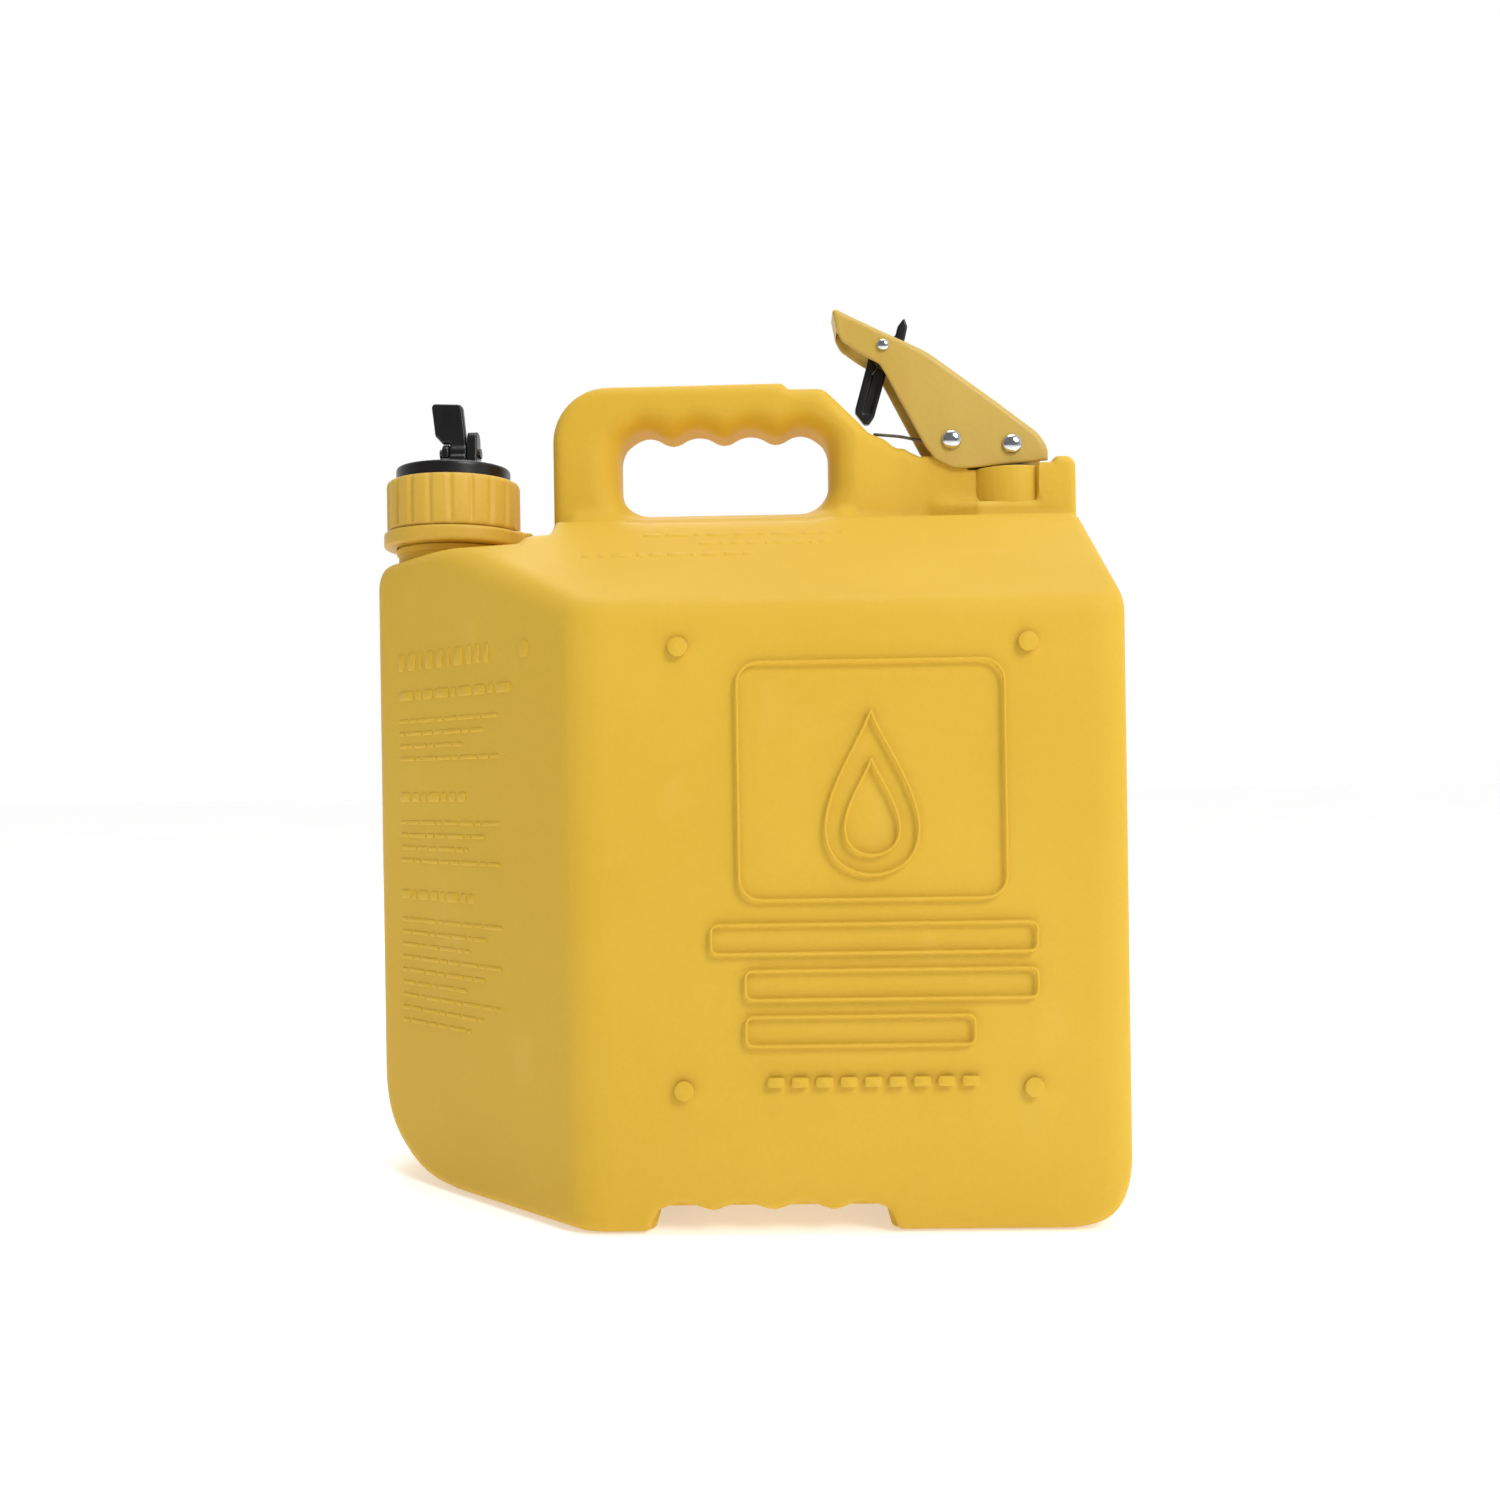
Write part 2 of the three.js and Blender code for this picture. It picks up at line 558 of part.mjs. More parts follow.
function safetyCatch() {
  const pin = { x: PIVOT.x + CATCH_PIN.x, z: PIVOT.z + CATCH_PIN.z }
  return prismY(about(pin, CATCH_SIDE), -2.2, 2.2).subtract(rodY(CATCH_PIN_HOLE, -5, 5, pin.x, pin.z, 16))
}

function catchSpring() {
  const x = PIVOT.x + CATCH_PIN.x
  const z = PIVOT.z + CATCH_PIN.z
  const turns = coil(x, z, 2.7, 3, -7.2, -3.6)
  const arm = [new THREE.Vector3(x + 0.5, -3.2, z - 4), new THREE.Vector3(x - 4.8, -3.1, z - 12)]
  return wire([...turns, ...arm], 0.45, 42, 5)
}

// ---- Assembly ----
add('can_body', tank(), YELLOW)
add('lock_collar', lockCollar(), RING_YELLOW)
add('coupling_ring', couplingRing(), RING_YELLOW)
add('outlet_disc', outletDisc(), BLACK)
add('outlet_gasket', tubeZ(22.4, 28.6, 328.9, 331.2, OUTLET.x, ROUND_STEPS), RUBBER)
add('outlet_arrester', basket(OUTLET.x, 21.9, 265, 331.2, 22), MESH_STEEL)
add('vent_lever', ventLever(), BLACK)
add('vent_lever_pin', ventPin(), CHROME)
add('vent_stem', ventStem(), BLACK)
add('vent_spring', ventSpring(), STEEL)
add('vent_seal', tubeZ(2.7, 9, 328.6, 331.2, OUTLET.x, ROUND_STEPS), RUBBER)
add('vent_seal_nut', tubeZ(2.7, 5, 325.5, 328.3, OUTLET.x, 24), STEEL)
add('filler_arrester', basket(FILLER.x, 12.1, 256, 320, 12.2), MESH_STEEL)
add('pivot_rivet', leverRivet({ x: 0, z: 0 }), CHROME)
add('lever_spring', leverSpring(), STEEL)
add('lever', lever(), LEVER_YELLOW)
add('lid_rivet', leverRivet(LID_PIN), CHROME)
add('lid', lid(), STEEL)
add('lid_gasket', tubeZ(4.2, 14.5, 324.3, 326.3, FILLER.x), RUBBER)
add('gasket_washer', tubeZ(2, 9, 322.7, 324, FILLER.x, ROUND_STEPS), STEEL)
add('gasket_screw', gasketScrew(), STEEL)
const CATCH_X = PIVOT.x + CATCH_PIN.x
const CATCH_Z = PIVOT.z + CATCH_PIN.z
add('catch_rivet', rivet(CATCH_PIN_RADIUS, 2.9, 1.8, LEVER_HALF - 0.4, CATCH_X, CATCH_Z), CHROME)
add('safety_catch', safetyCatch(), BLACK)
add('catch_spring', catchSpring(), STEEL)

export default can
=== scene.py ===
import math

import bmesh
import bpy
import numpy as np
from mathutils import Matrix, Vector


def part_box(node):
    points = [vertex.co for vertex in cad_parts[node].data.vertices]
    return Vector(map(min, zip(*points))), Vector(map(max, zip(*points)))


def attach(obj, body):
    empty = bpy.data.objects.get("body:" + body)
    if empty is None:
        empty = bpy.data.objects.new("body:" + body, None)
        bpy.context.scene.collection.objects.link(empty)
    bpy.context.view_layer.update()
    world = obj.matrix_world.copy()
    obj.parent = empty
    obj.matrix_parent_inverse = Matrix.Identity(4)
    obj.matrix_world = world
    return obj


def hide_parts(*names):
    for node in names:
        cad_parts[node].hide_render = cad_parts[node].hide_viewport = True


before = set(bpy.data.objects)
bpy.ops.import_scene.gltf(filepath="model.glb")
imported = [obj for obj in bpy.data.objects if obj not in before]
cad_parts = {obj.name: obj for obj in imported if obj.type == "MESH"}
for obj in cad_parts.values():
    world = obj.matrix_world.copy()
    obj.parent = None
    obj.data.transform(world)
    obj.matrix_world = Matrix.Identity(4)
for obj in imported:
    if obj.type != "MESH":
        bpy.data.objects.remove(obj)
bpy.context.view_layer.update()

MM = 0.001
TURN = math.tau


# ---- Places read from the frame, in millimetres ----
def box_mm(node):
    low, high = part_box(node)
    return [value / MM for value in low], [value / MM for value in high]


def centre_mm(node):
    low, high = box_mm(node)
    return [(a + b) / 2 for a, b in zip(low, high)]


HALF_LENGTH, HALF_WIDTH, FIN_TOP = box_mm("can_body")[1]
OUTLET_X = centre_mm("coupling_ring")[0]
FILLER_X = centre_mm("lid_gasket")[0]
PIVOT = centre_mm("pivot_rivet")
LID_PIN = centre_mm("lid_rivet")
CATCH_PIN = centre_mm("catch_rivet")
VENT_PIN_Z = centre_mm("vent_lever_pin")[2]

# ---- Tank dimensions, in millimetres ----
RELIEF = 0.6
WALL = 4
FIN_HALF = 21
EAVE_Z = 259.5
RIDGE_Z = 312
ROOF_HALF = 34
ROOF_FRONT = -80
DECK_Z = 300
STEP_FRONT = -93.75
STEP_RISE = 4
SHELF_Z = 321
WEB_HALF = 9.8
NOSE_HALF = 17.5
SHOULDER_X = -56.75
HOLE_LEFT, HOLE_RIGHT = -51, 52
HOLE_FLOOR, HOLE_TOP = 318, 360.8
HOLE_CORNER = 15
WAVE_PITCH = 25.8
WAVE_DEPTH = 2.5
WAVE_Z = 358.5
GRIP_MIDDLE = 0.5
SCOOP_PITCH = 25
SCOOP_MIDDLE = 20.25
SCOOP_RADIUS = 14
SCOOP_REACH = 10
SIDE_ROUND = 6
MELD = SIDE_ROUND * (1 - math.sqrt(0.5))

# ---- Bores and marks, in millimetres ----
RIVET_BORE = 2.8
PIN_BORE = 1.9
MARK_SUNK = -1.5
MARK_SPOT = 4
ROW_RISE = 0.5

# ---- Ring ribs ----
RING_RIBS = 20
RIB_STEPS = 12
RIB_RADIUS = 32.7
GROOVE_DEPTH = 1.2
GROOVE_SHARE = 0.17

# ---- Mask values for colour ramps ----
MASK_OFF = (0, 0, 0, 1)
MASK_ON = (1, 1, 1, 1)


# ---- Signed-distance shapes: negative inside, in millimetres ----
def rounded(corners, steps_per_turn=64):
    """Corners (u, v, radius) to a list of points, with an arc at each corner."""
    points = []
    for i, (u, v, radius) in enumerate(corners):
        here = Vector((u, v))
        if radius == 0:
            points.append(here)
            continue
        back = (Vector(corners[i - 1][:2]) - here).normalized()
        on = (Vector(corners[(i + 1) % len(corners)][:2]) - here).normalized()
        half = back.angle(on) / 2
        centre = here + (back + on).normalized() * radius / math.sin(half)
        start = here + back * radius / math.tan(half) - centre
        end = here + on * radius / math.tan(half) - centre
        sweep = math.atan2(start.x * end.y - start.y * end.x, start.dot(end))
        steps = max(1, round(abs(sweep) / TURN * steps_per_turn))
        for k in range(steps + 1):
            points.append(centre + Matrix.Rotation(sweep * k / steps, 2) @ start)
    return points


def inside_of(points, u, v):
    """Distance in a plane to a closed outline."""
    u, v = np.broadcast_arrays(u, v)
    nearest = np.full(u.shape, 1e12, np.float32)
    inside = np.zeros(u.shape, bool)
    for (au, av), (bu, bv) in zip(points, points[1:] + points[:1]):
        eu, ev = bu - au, bv - av
        length = eu * eu + ev * ev
        if length < 1e-9:
            continue
        along = np.clip(((u - au) * eu + (v - av) * ev) / length, 0, 1)
        nearest = np.minimum(nearest, (u - au - eu * along) ** 2 + (v - av - ev * along) ** 2)
        if av != bv:
            inside ^= ((av > v) != (bv > v)) & (u < eu * (v - av) / ev + au)
    distance = np.sqrt(nearest)
    return np.where(inside, -distance, distance)


def both(a, b, r=0.0):
    """Where two shapes meet, with a rounded edge of radius r."""
    u = np.maximum(a + r, 0)
    v = np.maximum(b + r, 0)
    return np.minimum(np.maximum(a, b), -r) + np.sqrt(u * u + v * v)


def either(a, b, r=0.0):
    """Two shapes joined, with a fillet of radius r."""
    return -both(-a, -b, r)


def cut(a, b, r=0.0):
    return both(a, -b, r)


def bore(u, v, radius):
    """An endless round bar, with (u, v) measured from its centre line."""
    return np.sqrt(u * u + v * v) - radius


def rod(u, v, w, radius, low, high, r=0.0):
    """A round bar along w, with (u, v) measured from its centre line."""
    return both(bore(u, v, radius), np.maximum(low - w, w - high), r)


def block(low, high, x, y, z, r=0.0):
    sides = [np.maximum(a - p, p - b) for a, b, p in zip(low, high, (x, y, z))]
    return both(both(sides[0], sides[1], r), sides[2], r)


# ---- From a distance field to a mesh ----
def ruler(*marks):
    """Grid lines from (position, spacing) marks; each gap is divided by the spacing at its start."""
    lines = []
    for (start, spacing), (end, _) in zip(marks, marks[1:]):
        count = max(1, round((end - start) / spacing))
        lines.extend(start + (end - start) * k / count for k in range(count))
    lines.append(marks[-1][0])
    return np.array(lines)


def even(low, high, step):
    return [ruler((a - 2 * step, step), (b + 2 * step, step)) for a, b in zip(low, high)]


def skin(name, field, axes):
    """Surface nets: one vertex in each cell that the surface crosses, drawn onto the surface."""
    x, y, z = np.ix_(*axes)
    shape = tuple(len(a) for a in axes)
    grid = np.broadcast_to(field(x, y, z), shape)
    cells = tuple(n - 1 for n in shape)
    total = np.zeros(cells + (3,))
    count = np.zeros(cells)
    crossings = []
    for axis in range(3):
        a = grid[tuple(slice(0, -1) if k == axis else slice(None) for k in range(3))]
        b = grid[tuple(slice(1, None) if k == axis else slice(None) for k in range(3))]
        where = np.argwhere((a < 0) != (b < 0))
        start, end = a[tuple(where.T)], b[tuple(where.T)]
        point = where.astype(float)
        point[:, axis] += start / (start - end)
        others = [(axis + 1) % 3, (axis + 2) % 3]
        ring = []
        for du, dv in ((1, 1), (0, 1), (0, 0), (1, 0)):
            cell = where.copy()
            cell[:, others[0]] -= du
            cell[:, others[1]] -= dv
            np.add.at(total, tuple(cell.T), point)
            np.add.at(count, tuple(cell.T), 1)
            ring.append(cell)
        crossings.append((ring, start < 0))
    used = count > 0
    number = np.full(cells, -1)
    number[used] = np.arange(used.sum())
    places = total[used] / count[used][:, None]
    faces = []
    for ring, leaving in crossings:
        quad = np.stack([number[tuple(cell.T)] for cell in ring], 1)
        quad[~leaving] = quad[~leaving][:, ::-1]
        faces.append(quad)
    verts = np.stack([np.interp(places[:, k], np.arange(shape[k]), axes[k]) for k in range(3)], 1)
    return mesh_object(name, settle(field, verts) * MM, np.concatenate(faces))


def settle(field, verts, reach=0.05, rounds=3):
    """Moves each vertex along the field's slope until it lies on the surface."""
    for _ in range(rounds):
        level = field(*verts.T)
        slope = np.zeros_like(verts)
        for axis in range(3):
            step = np.zeros(3)
            step[axis] = reach
            slope[:, axis] = (field(*(verts + step).T) - field(*(verts - step).T)) / (2 * reach)
        size = np.maximum((slope ** 2).sum(1), 0.2)
        verts = verts - slope * np.clip(level / size, -1.5, 1.5)[:, None]
    return verts


def mesh_object(name, verts, faces):
    mesh = bpy.data.meshes.new(name)
    mesh.from_pydata(np.asarray(verts).tolist(), [], [list(map(int, face)) for face in faces])
    mesh.shade_smooth()
    piece = bpy.data.objects.new(name, mesh)
    bpy.context.scene.collection.objects.link(piece)
    return piece


def bake(piece):
    """Replaces the mesh with the result of the modifiers."""
    graph = bpy.context.evaluated_depsgraph_get()
    mesh = bpy.data.meshes.new_from_object(piece.evaluated_get(graph))
    piece.modifiers.clear()
    piece.data = mesh


def combine(piece, operation, *tools):
    """Joins other closed pieces to one, or cuts them out of it, and removes them."""
    for tool in tools:
        step = piece.modifiers.new(tool.name, "BOOLEAN")
        step.operation = operation
        step.solver = "MANIFOLD"
        step.object = tool
    bpy.context.view_layer.update()
    bake(piece)
    for tool in tools:
        bpy.data.objects.remove(tool)


# ---- Other mesh makers ----
def swept(name, rows, closed):
    """Joins equal rings of points into a closed surface, with a cap at each end unless closed."""
    count = len(rows[0])
    verts = [point for row in rows for point in row]
    faces = []
    pairs = list(zip(range(len(rows)), range(1, len(rows))))
    if closed:
        pairs.append((len(rows) - 1, 0))
    for a, b in pairs:
        for k in range(count):
            n = (k + 1) % count
            faces.append((a * count + k, a * count + n, b * count + n, b * count + k))
    if not closed:
        faces.append(tuple(reversed(range(count))))
        faces.append(tuple((len(rows) - 1) * count + k for k in range(count)))
    return mesh_object(name, np.array(verts) * MM, faces)


def lathe(name, profile, centre, axis="Z", segments=96, sharp=50):
    """A turned piece from (radius, height) pairs that run upward on the outside."""
    rows = []
    for radius, height in profile:
        ring = []
        for k in range(segments):
            a = TURN * k / segments
            u, v = max(radius, 0.01) * math.cos(a), max(radius, 0.01) * math.sin(a)
            spot = {"X": (height, u, v), "Y": (v, height, u), "Z": (u, v, height)}[axis]
            ring.append([s + c for s, c in zip(spot, centre)])
        rows.append(ring)
    piece = swept(name, rows, False)
    piece.data.set_sharp_from_angle(angle=math.radians(sharp))
    return piece


def eased(profile, r, steps=3):
    """Rounds every inner corner of an open profile."""
    result = [profile[0]]
    for before, here, after in zip(profile, profile[1:], profile[2:]):
        corner = Vector(here)
        back = Vector(before) - corner
        on = Vector(after) - corner
        reach = min(r, back.length * 0.45, on.length * 0.45)
        start = corner + back.normalized() * reach
        end = corner + on.normalized() * reach
        for k in range(steps + 1):
            t = k / steps
            result.append(tuple((1 - t) ** 2 * start + 2 * t * (1 - t) * corner + t ** 2 * end))
    result.append(profile[-1])
    return result


def smooth_path(points, steps=3):
    """A Catmull-Rom curve through the points."""
    pts = [Vector(p) for p in points]
    pts = [2 * pts[0] - pts[1]] + pts + [2 * pts[-1] - pts[-2]]
    path = []
    for a, b, c, d in zip(pts, pts[1:], pts[2:], pts[3:]):
        for k in range(steps):
            t = k / steps
            path.append(0.5 * (2 * b + (c - a) * t + (2 * a - 5 * b + 4 * c - d) * t ** 2
                               + (3 * b - a - 3 * c + d) * t ** 3))
    path.append(pts[-2])
    return path


def wire_rows(path, radius, sides=12):
    """Rings of points along a path, carried without twisting."""
    rows = []
    side = None
    for i, point in enumerate(path):
        ahead = (path[min(i + 1, len(path) - 1)] - path[max(i - 1, 0)]).normalized()
        if side is None:
            side = ahead.orthogonal().normalized()
        side = (side - ahead * side.dot(ahead)).normalized()
        up = ahead.cross(side)
        rows.append([point + (side * math.cos(TURN * k / sides) + up * math.sin(TURN * k / sides)) * radius
                     for k in range(sides)])
    return rows


def wire(name, path, radius):
    """A round wire along a path, with its ends chamfered."""
    rows = wire_rows(path, radius)
    ends = []
    for tip, neighbour, row in ((path[0], path[1], rows[0]), (path[-1], path[-2], rows[-1])):
        beyond = (tip - neighbour).normalized() * radius * 0.4
        ends.append([tip + (point - tip) * 0.6 + beyond for point in row])
    return swept(name, [ends[0]] + rows + [ends[1]], False)


def merge(name, pieces):
    """One object from several, so that small repeated details count as one piece."""
    work = bmesh.new()
    for piece in pieces:
        work.from_mesh(piece.data)
        bpy.data.objects.remove(piece)
    mesh = bpy.data.meshes.new(name)
    work.to_mesh(mesh)
    work.free()
    joined = bpy.data.objects.new(name, mesh)
    bpy.context.scene.collection.objects.link(joined)
    return joined


# ---- Materials ----
def srgb(red, green, blue):
    def linear(value):
        value /= 255
        return value / 12.92 if value <= 0.04045 else ((value + 0.055) / 1.055) ** 2.4
    return (linear(red), linear(green), linear(blue), 1)


def grey(value):
    return (value, value, value, 1)


class Shader:
    """Adds and links nodes around one Principled shader."""

    def __init__(self, name):
        self.material = bpy.data.materials.new(name)
        self.material.use_nodes = True
        self.tree = self.material.node_tree
        self.surface = self.tree.nodes["Principled BSDF"]
        self.place = self.tree.nodes.new("ShaderNodeTexCoord").outputs["Object"]

    def node(self, kind, inputs=None, **settings):
        node = self.tree.nodes.new("ShaderNode" + kind)
        for key, value in settings.items():
            setattr(node, key, value)
        for key, value in (inputs or {}).items():
            if isinstance(value, bpy.types.NodeSocket):
                self.tree.links.new(value, node.inputs[key])
            else:
                node.inputs[key].default_value = value
        return node

    def noise(self, scale, detail=3, stretch=None):
        place = self.place
        if stretch:
            place = self.node("Mapping", {"Vector": place, "Scale": stretch}).outputs["Vector"]
        return self.node("TexNoise", {"Vector": place, "Scale": scale, "Detail": detail}).outputs["Fac"]

    def ramp(self, value, low, high, first, second):
        node = self.node("ValToRGB", {"Fac": value})
        for element, position, color in zip(node.color_ramp.elements, (low, high), (first, second)):
            element.position = position
            element.color = color
        return node.outputs["Color"]

    def spread(self, value, low, high):
        return self.node("MapRange", {"Value": value, "To Min": low, "To Max": high}).outputs["Result"]

    def mix(self, amount, first, second, blend="MIX"):
        inputs = {0: amount, 6: first, 7: second}
        return self.node("Mix", inputs, data_type="RGBA", blend_type=blend).outputs[2]

    def bump(self, height, strength, distance, under=None):
        inputs = {"Height": height, "Strength": strength, "Distance": distance}
        if under:
            inputs["Normal"] = under
        return self.node("Bump", inputs).outputs["Normal"]

    def painted_edge_highlight(self, colour, rub_and_highlight, low, high):
        """Painted highlight: paler convex edges, broken up by noise."""
        edge = self.node("NewGeometry").outputs["Pointiness"]
        mask = self.ramp(edge, low, high, MASK_OFF, MASK_ON)
        patches = self.ramp(self.noise(90, 4), 0.35, 0.75, MASK_OFF, grey(0.7))
        return self.mix(self.mix(1.0, mask, patches, "MULTIPLY"), colour, rub_and_highlight)

    def finish(self, links, **values):
        for key, output in links.items():
            self.tree.links.new(output, self.surface.inputs[key])
        for key, value in values.items():
            self.surface.inputs[key.replace("_", " ")].default_value = value
        return self.material


def moulded_plastic(name, base, shade, rub_and_highlight, rough, ripple, scuffs, edge):
    """Moulded plastic: cloudy colour, a fine grain, slow ripples, faint rubbed patches and a painted
    highlight on convex edges.
    """
    shader = Shader(name)
    cloudy = shader.ramp(shader.noise(7, 4), 0.3, 0.7, shade, base)
    speck = shader.ramp(shader.noise(520, 2), 0.35, 0.7, shade, base)
    colour = shader.mix(0.22, cloudy, speck)
    rubbed = shader.ramp(shader.noise(34, 5, (1, 1, 0.6)), 0.62, 0.72, MASK_OFF, grey(scuffs))
    colour = shader.mix(rubbed, colour, rub_and_highlight)
    slow = shader.bump(shader.noise(11, 2), 0.18, ripple)
    grain = shader.bump(shader.noise(850, 3), 0.16, 0.0006, slow)
    return shader.finish({
        # Paler convex edges here are a painted highlight; the rubbed patches above are wear.
        "Base Color": shader.painted_edge_highlight(colour, rub_and_highlight, edge, edge + 0.065),
        "Roughness": shader.spread(shader.noise(30, 4), *rough),
        "Normal": grain,
    }, Specular_IOR_Level=0.22)


def painted_steel(name, base, shade, rub_and_highlight):
    """Powder coat: a fine orange peel, with a painted highlight of paler convex edges."""
    shader = Shader(name)
    cloudy = shader.ramp(shader.noise(16, 4), 0.35, 0.65, shade, base)
    peel = shader.bump(shader.noise(420, 2), 0.14, 0.0006)
    return shader.finish({
        # Paler convex edges on the lever are a painted highlight.
        "Base Color": shader.painted_edge_highlight(cloudy, rub_and_highlight, 0.54, 0.66),
        "Roughness": shader.spread(shader.noise(60, 4), 0.34, 0.48),
        "Normal": shader.bump(shader.noise(1400, 2), 0.08, 0.0003, peel),
    }, Specular_IOR_Level=0.5)


def black_nylon(name, rough):
    shader = Shader(name)
    tone = shader.ramp(shader.noise(30, 4), 0.35, 0.65, srgb(10, 9, 10), srgb(19, 17, 18))
    return shader.finish({
        # Paler convex edges on the black nylon are a painted highlight.
        "Base Color": shader.painted_edge_highlight(tone, srgb(40, 38, 38), 0.56, 0.7),
        "Roughness": shader.spread(shader.noise(90, 4), *rough),
        "Normal": shader.bump(shader.noise(1100, 3), 0.12, 0.0004),
    })


def metal(name, light, dark, rough, stretch, depth):
    shader = Shader(name)
    brushed = shader.noise(420, 4, stretch)
    return shader.finish({
        "Base Color": shader.ramp(brushed, 0.3, 0.7, dark, light),
        "Roughness": shader.spread(shader.noise(110, 5), *rough),
        "Normal": shader.bump(brushed, depth, 0.0003),
    }, Metallic=1.0)


def seal_rubber(name):
    shader = Shader(name)
    return shader.finish({
        "Base Color": shader.ramp(shader.noise(60, 4), 0.3, 0.7, srgb(22, 22, 22), srgb(40, 39, 38)),
        "Roughness": shader.spread(shader.noise(200, 3), 0.7, 0.85),
        "Normal": shader.bump(shader.noise(1500, 2), 0.1, 0.0003),
    })


def woven_steel(name):
    """Fine wire mesh: two crossed sets of ridges."""
    shader = Shader(name)
    inputs = {"Vector": shader.place, "Scale": 170}
    ridges = [
        shader.node("TexWave", inputs, bands_direction=way).outputs["Fac"] for way in ("Z", "DIAGONAL")
    ]
    weave = shader.mix(1.0, ridges[0], ridges[1], "MULTIPLY")
    return shader.finish({
        "Base Color": shader.ramp(weave, 0.1, 0.7, srgb(38, 38, 40), srgb(188, 188, 190)),
        "Roughness": shader.spread(shader.noise(80, 3), 0.35, 0.5),
        "Normal": shader.bump(weave, 0.6, 0.0006),
    }, Metallic=1.0)


TANK_COLOURS = (srgb(216, 177, 60), srgb(209, 168, 49), srgb(228, 197, 102))
RING_COLOURS = (srgb(212, 174, 74), srgb(203, 163, 60), srgb(225, 196, 112))
LEVER_COLOURS = (srgb(197, 166, 76), srgb(190, 158, 67), srgb(214, 190, 120))
TANK_FINISH = {"rough": (0.5, 0.64), "ripple": 0.004}
TANK_YELLOW = moulded_plastic(
    "tank_polyethylene", *TANK_COLOURS, **TANK_FINISH, scuffs=0.12, edge=0.515)
RELIEF_YELLOW = moulded_plastic(
    "relief_polyethylene", *TANK_COLOURS, **TANK_FINISH, scuffs=0.1, edge=0.6)
RING_YELLOW = moulded_plastic(
    "ring_plastic", *RING_COLOURS, rough=(0.36, 0.5), ripple=0.0008, scuffs=0.15, edge=0.53)
LEVER_YELLOW = painted_steel("lever_powder_coat", *LEVER_COLOURS)
BLACK = black_nylon("black_nylon", (0.24, 0.4))
RUBBER = seal_rubber("seal_rubber")
CHROME = metal("rivet_chrome", srgb(222, 224, 228), srgb(196, 198, 203), (0.08, 0.18), (1, 1, 1), 0.02)
STEEL = metal("zinc_steel", srgb(158, 160, 164), srgb(128, 130, 133), (0.28, 0.42), (1, 1, 12), 0.05)
SPRING = metal("spring_steel", srgb(112, 106, 100), srgb(84, 80, 76), (0.3, 0.45), (1, 1, 1), 0.05)
ARRESTER = woven_steel("arrester_weave")


def dress(piece, material, body, slot, *nodes):
    """Gives a piece its material and its body, and hides the CAD nodes it stands for; slot is not used."""
    piece.data.materials.clear()
    piece.data.materials.append(material)
    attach(piece, body)
    if nodes:
        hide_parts(*nodes)


def mould(name, field, step, material, body, slot, node):
    """A piece shaped by a field, on an even grid over the CAD node that it stands for."""
    low, high = box_mm(node)
    dress(skin(name, field, even(low, high, step)), material, body, slot, node)


# ---- The tank ----
def tank_outlines(inset):
    """Plan, cross-section and side view of the tank, drawn in by an inset.

    Where two of them share a face, rounding takes MELD off it, so those faces start that much further out.
    """
    half = HALF_LENGTH - inset + MELD
    wide = HALF_WIDTH - max(inset, RELIEF)
    nose = NOSE_HALF - MELD
    eave = EAVE_Z - inset * 0.5
    base, deck, ridge = inset - MELD, DECK_Z - inset, RIDGE_Z - inset
    above = ridge + 10
    step = deck + STEP_RISE
    plan = [
        (half, -wide, 18), (half, wide, 18), (SHOULDER_X, wide, 26), (-half, nose, 30),
        (-half, -nose, 30), (SHOULDER_X, -wide, 26),
    ]
    section = [
        (-wide, base, 10), (wide, base, 10), (wide, eave, 16),
        (ROOF_HALF, ridge, 5), (-ROOF_HALF, ridge, 5), (-wide, eave, 16),
    ]
    side = [
        (-half, base, 52), (half, base, 32), (half, above, 1), (ROOF_FRONT + inset, above, 1),
        (ROOF_FRONT + inset, step, 2), (STEP_FRONT + inset, step, 2), (STEP_FRONT + inset, deck, 3),
        (-half, deck - 6, 12),
    ]
    return rounded(plan), rounded(section), rounded(side)


OUTER = tank_outlines(0)
INNER = tank_outlines(WALL)

FIN = rounded([
    (-82.75, 270, 0), (-82.75, FIN_TOP - 0.5, 27), (29.5, FIN_TOP, 2), (32.5, FIN_TOP - 3, 2),
    (49.5, FIN_TOP - 3, 8), (71.5, 356.5, 4), (79.3, 353.9, 3), (84.6, 350, 3), (89, 349.8, 3),
    (96.5, 345.5, 3), (104.4, 345.5, 2), (104.4, 359, 6), (119.4, 359, 6), (119.4, 338.2, 1.5),
    (132, 338.2, 0), (132, 270, 0),
])
SHELF = rounded([
    (104, 270, 0), (104, SHELF_Z, 2), (160.4, SHELF_Z, 3), (160.4, 342.2, 1.5), (HALF_LENGTH, 342.2, 5),
    (HALF_LENGTH, 270, 0),
])
FIN_INSIDE = rounded([
    (-78.75, 260, 0), (-78.75, 376, 20), (45, 373.8, 6), (67, 352.5, 5), (82, 346, 3), (92, 341, 2),
    (112, 341, 2), (112, 260, 0),
])
NOTCH = [(-30.75, -6), (71.25, -6), (67.25, 9.8), (-26.75, 9.8)]
NOTCH_INSIDE = [(-39, -9), (80, -9), (76, 18), (-35, 18)]

# ---- Turned parts of the tank: (radius, height) in millimetres ----
NECK = [(0, 285), (27.2, 285)] + eased([
    (27.2, 286), (27.2, 300.8), (28.2, 301.2), (28.2, 304), (27.2, 304.4), (27.2, 315.6),
    (28.6, 317), (28.6, 318.5), (27.2, 320), (27.2, 321.6), (28.6, 323), (28.6, 324.5), (27.2, 326),
    (27.2, 328.6), (24, 328.6),
], 0.6) + [(0, 328.6)]
FILLER = [(0, 290), (20, 290)] + eased([(20, 291), (20, 338.2), (16, 338.2)], 1.0) + [(0, 338.2)]
OUTLET_BORE = [(0, 270), (22.6, 270), (22.6, 340), (0, 340)]
FILLER_BORE = [(0, 270), (12.4, 270), (12.4, 324), (15.2, 324), (15.2, 350), (0, 350)]


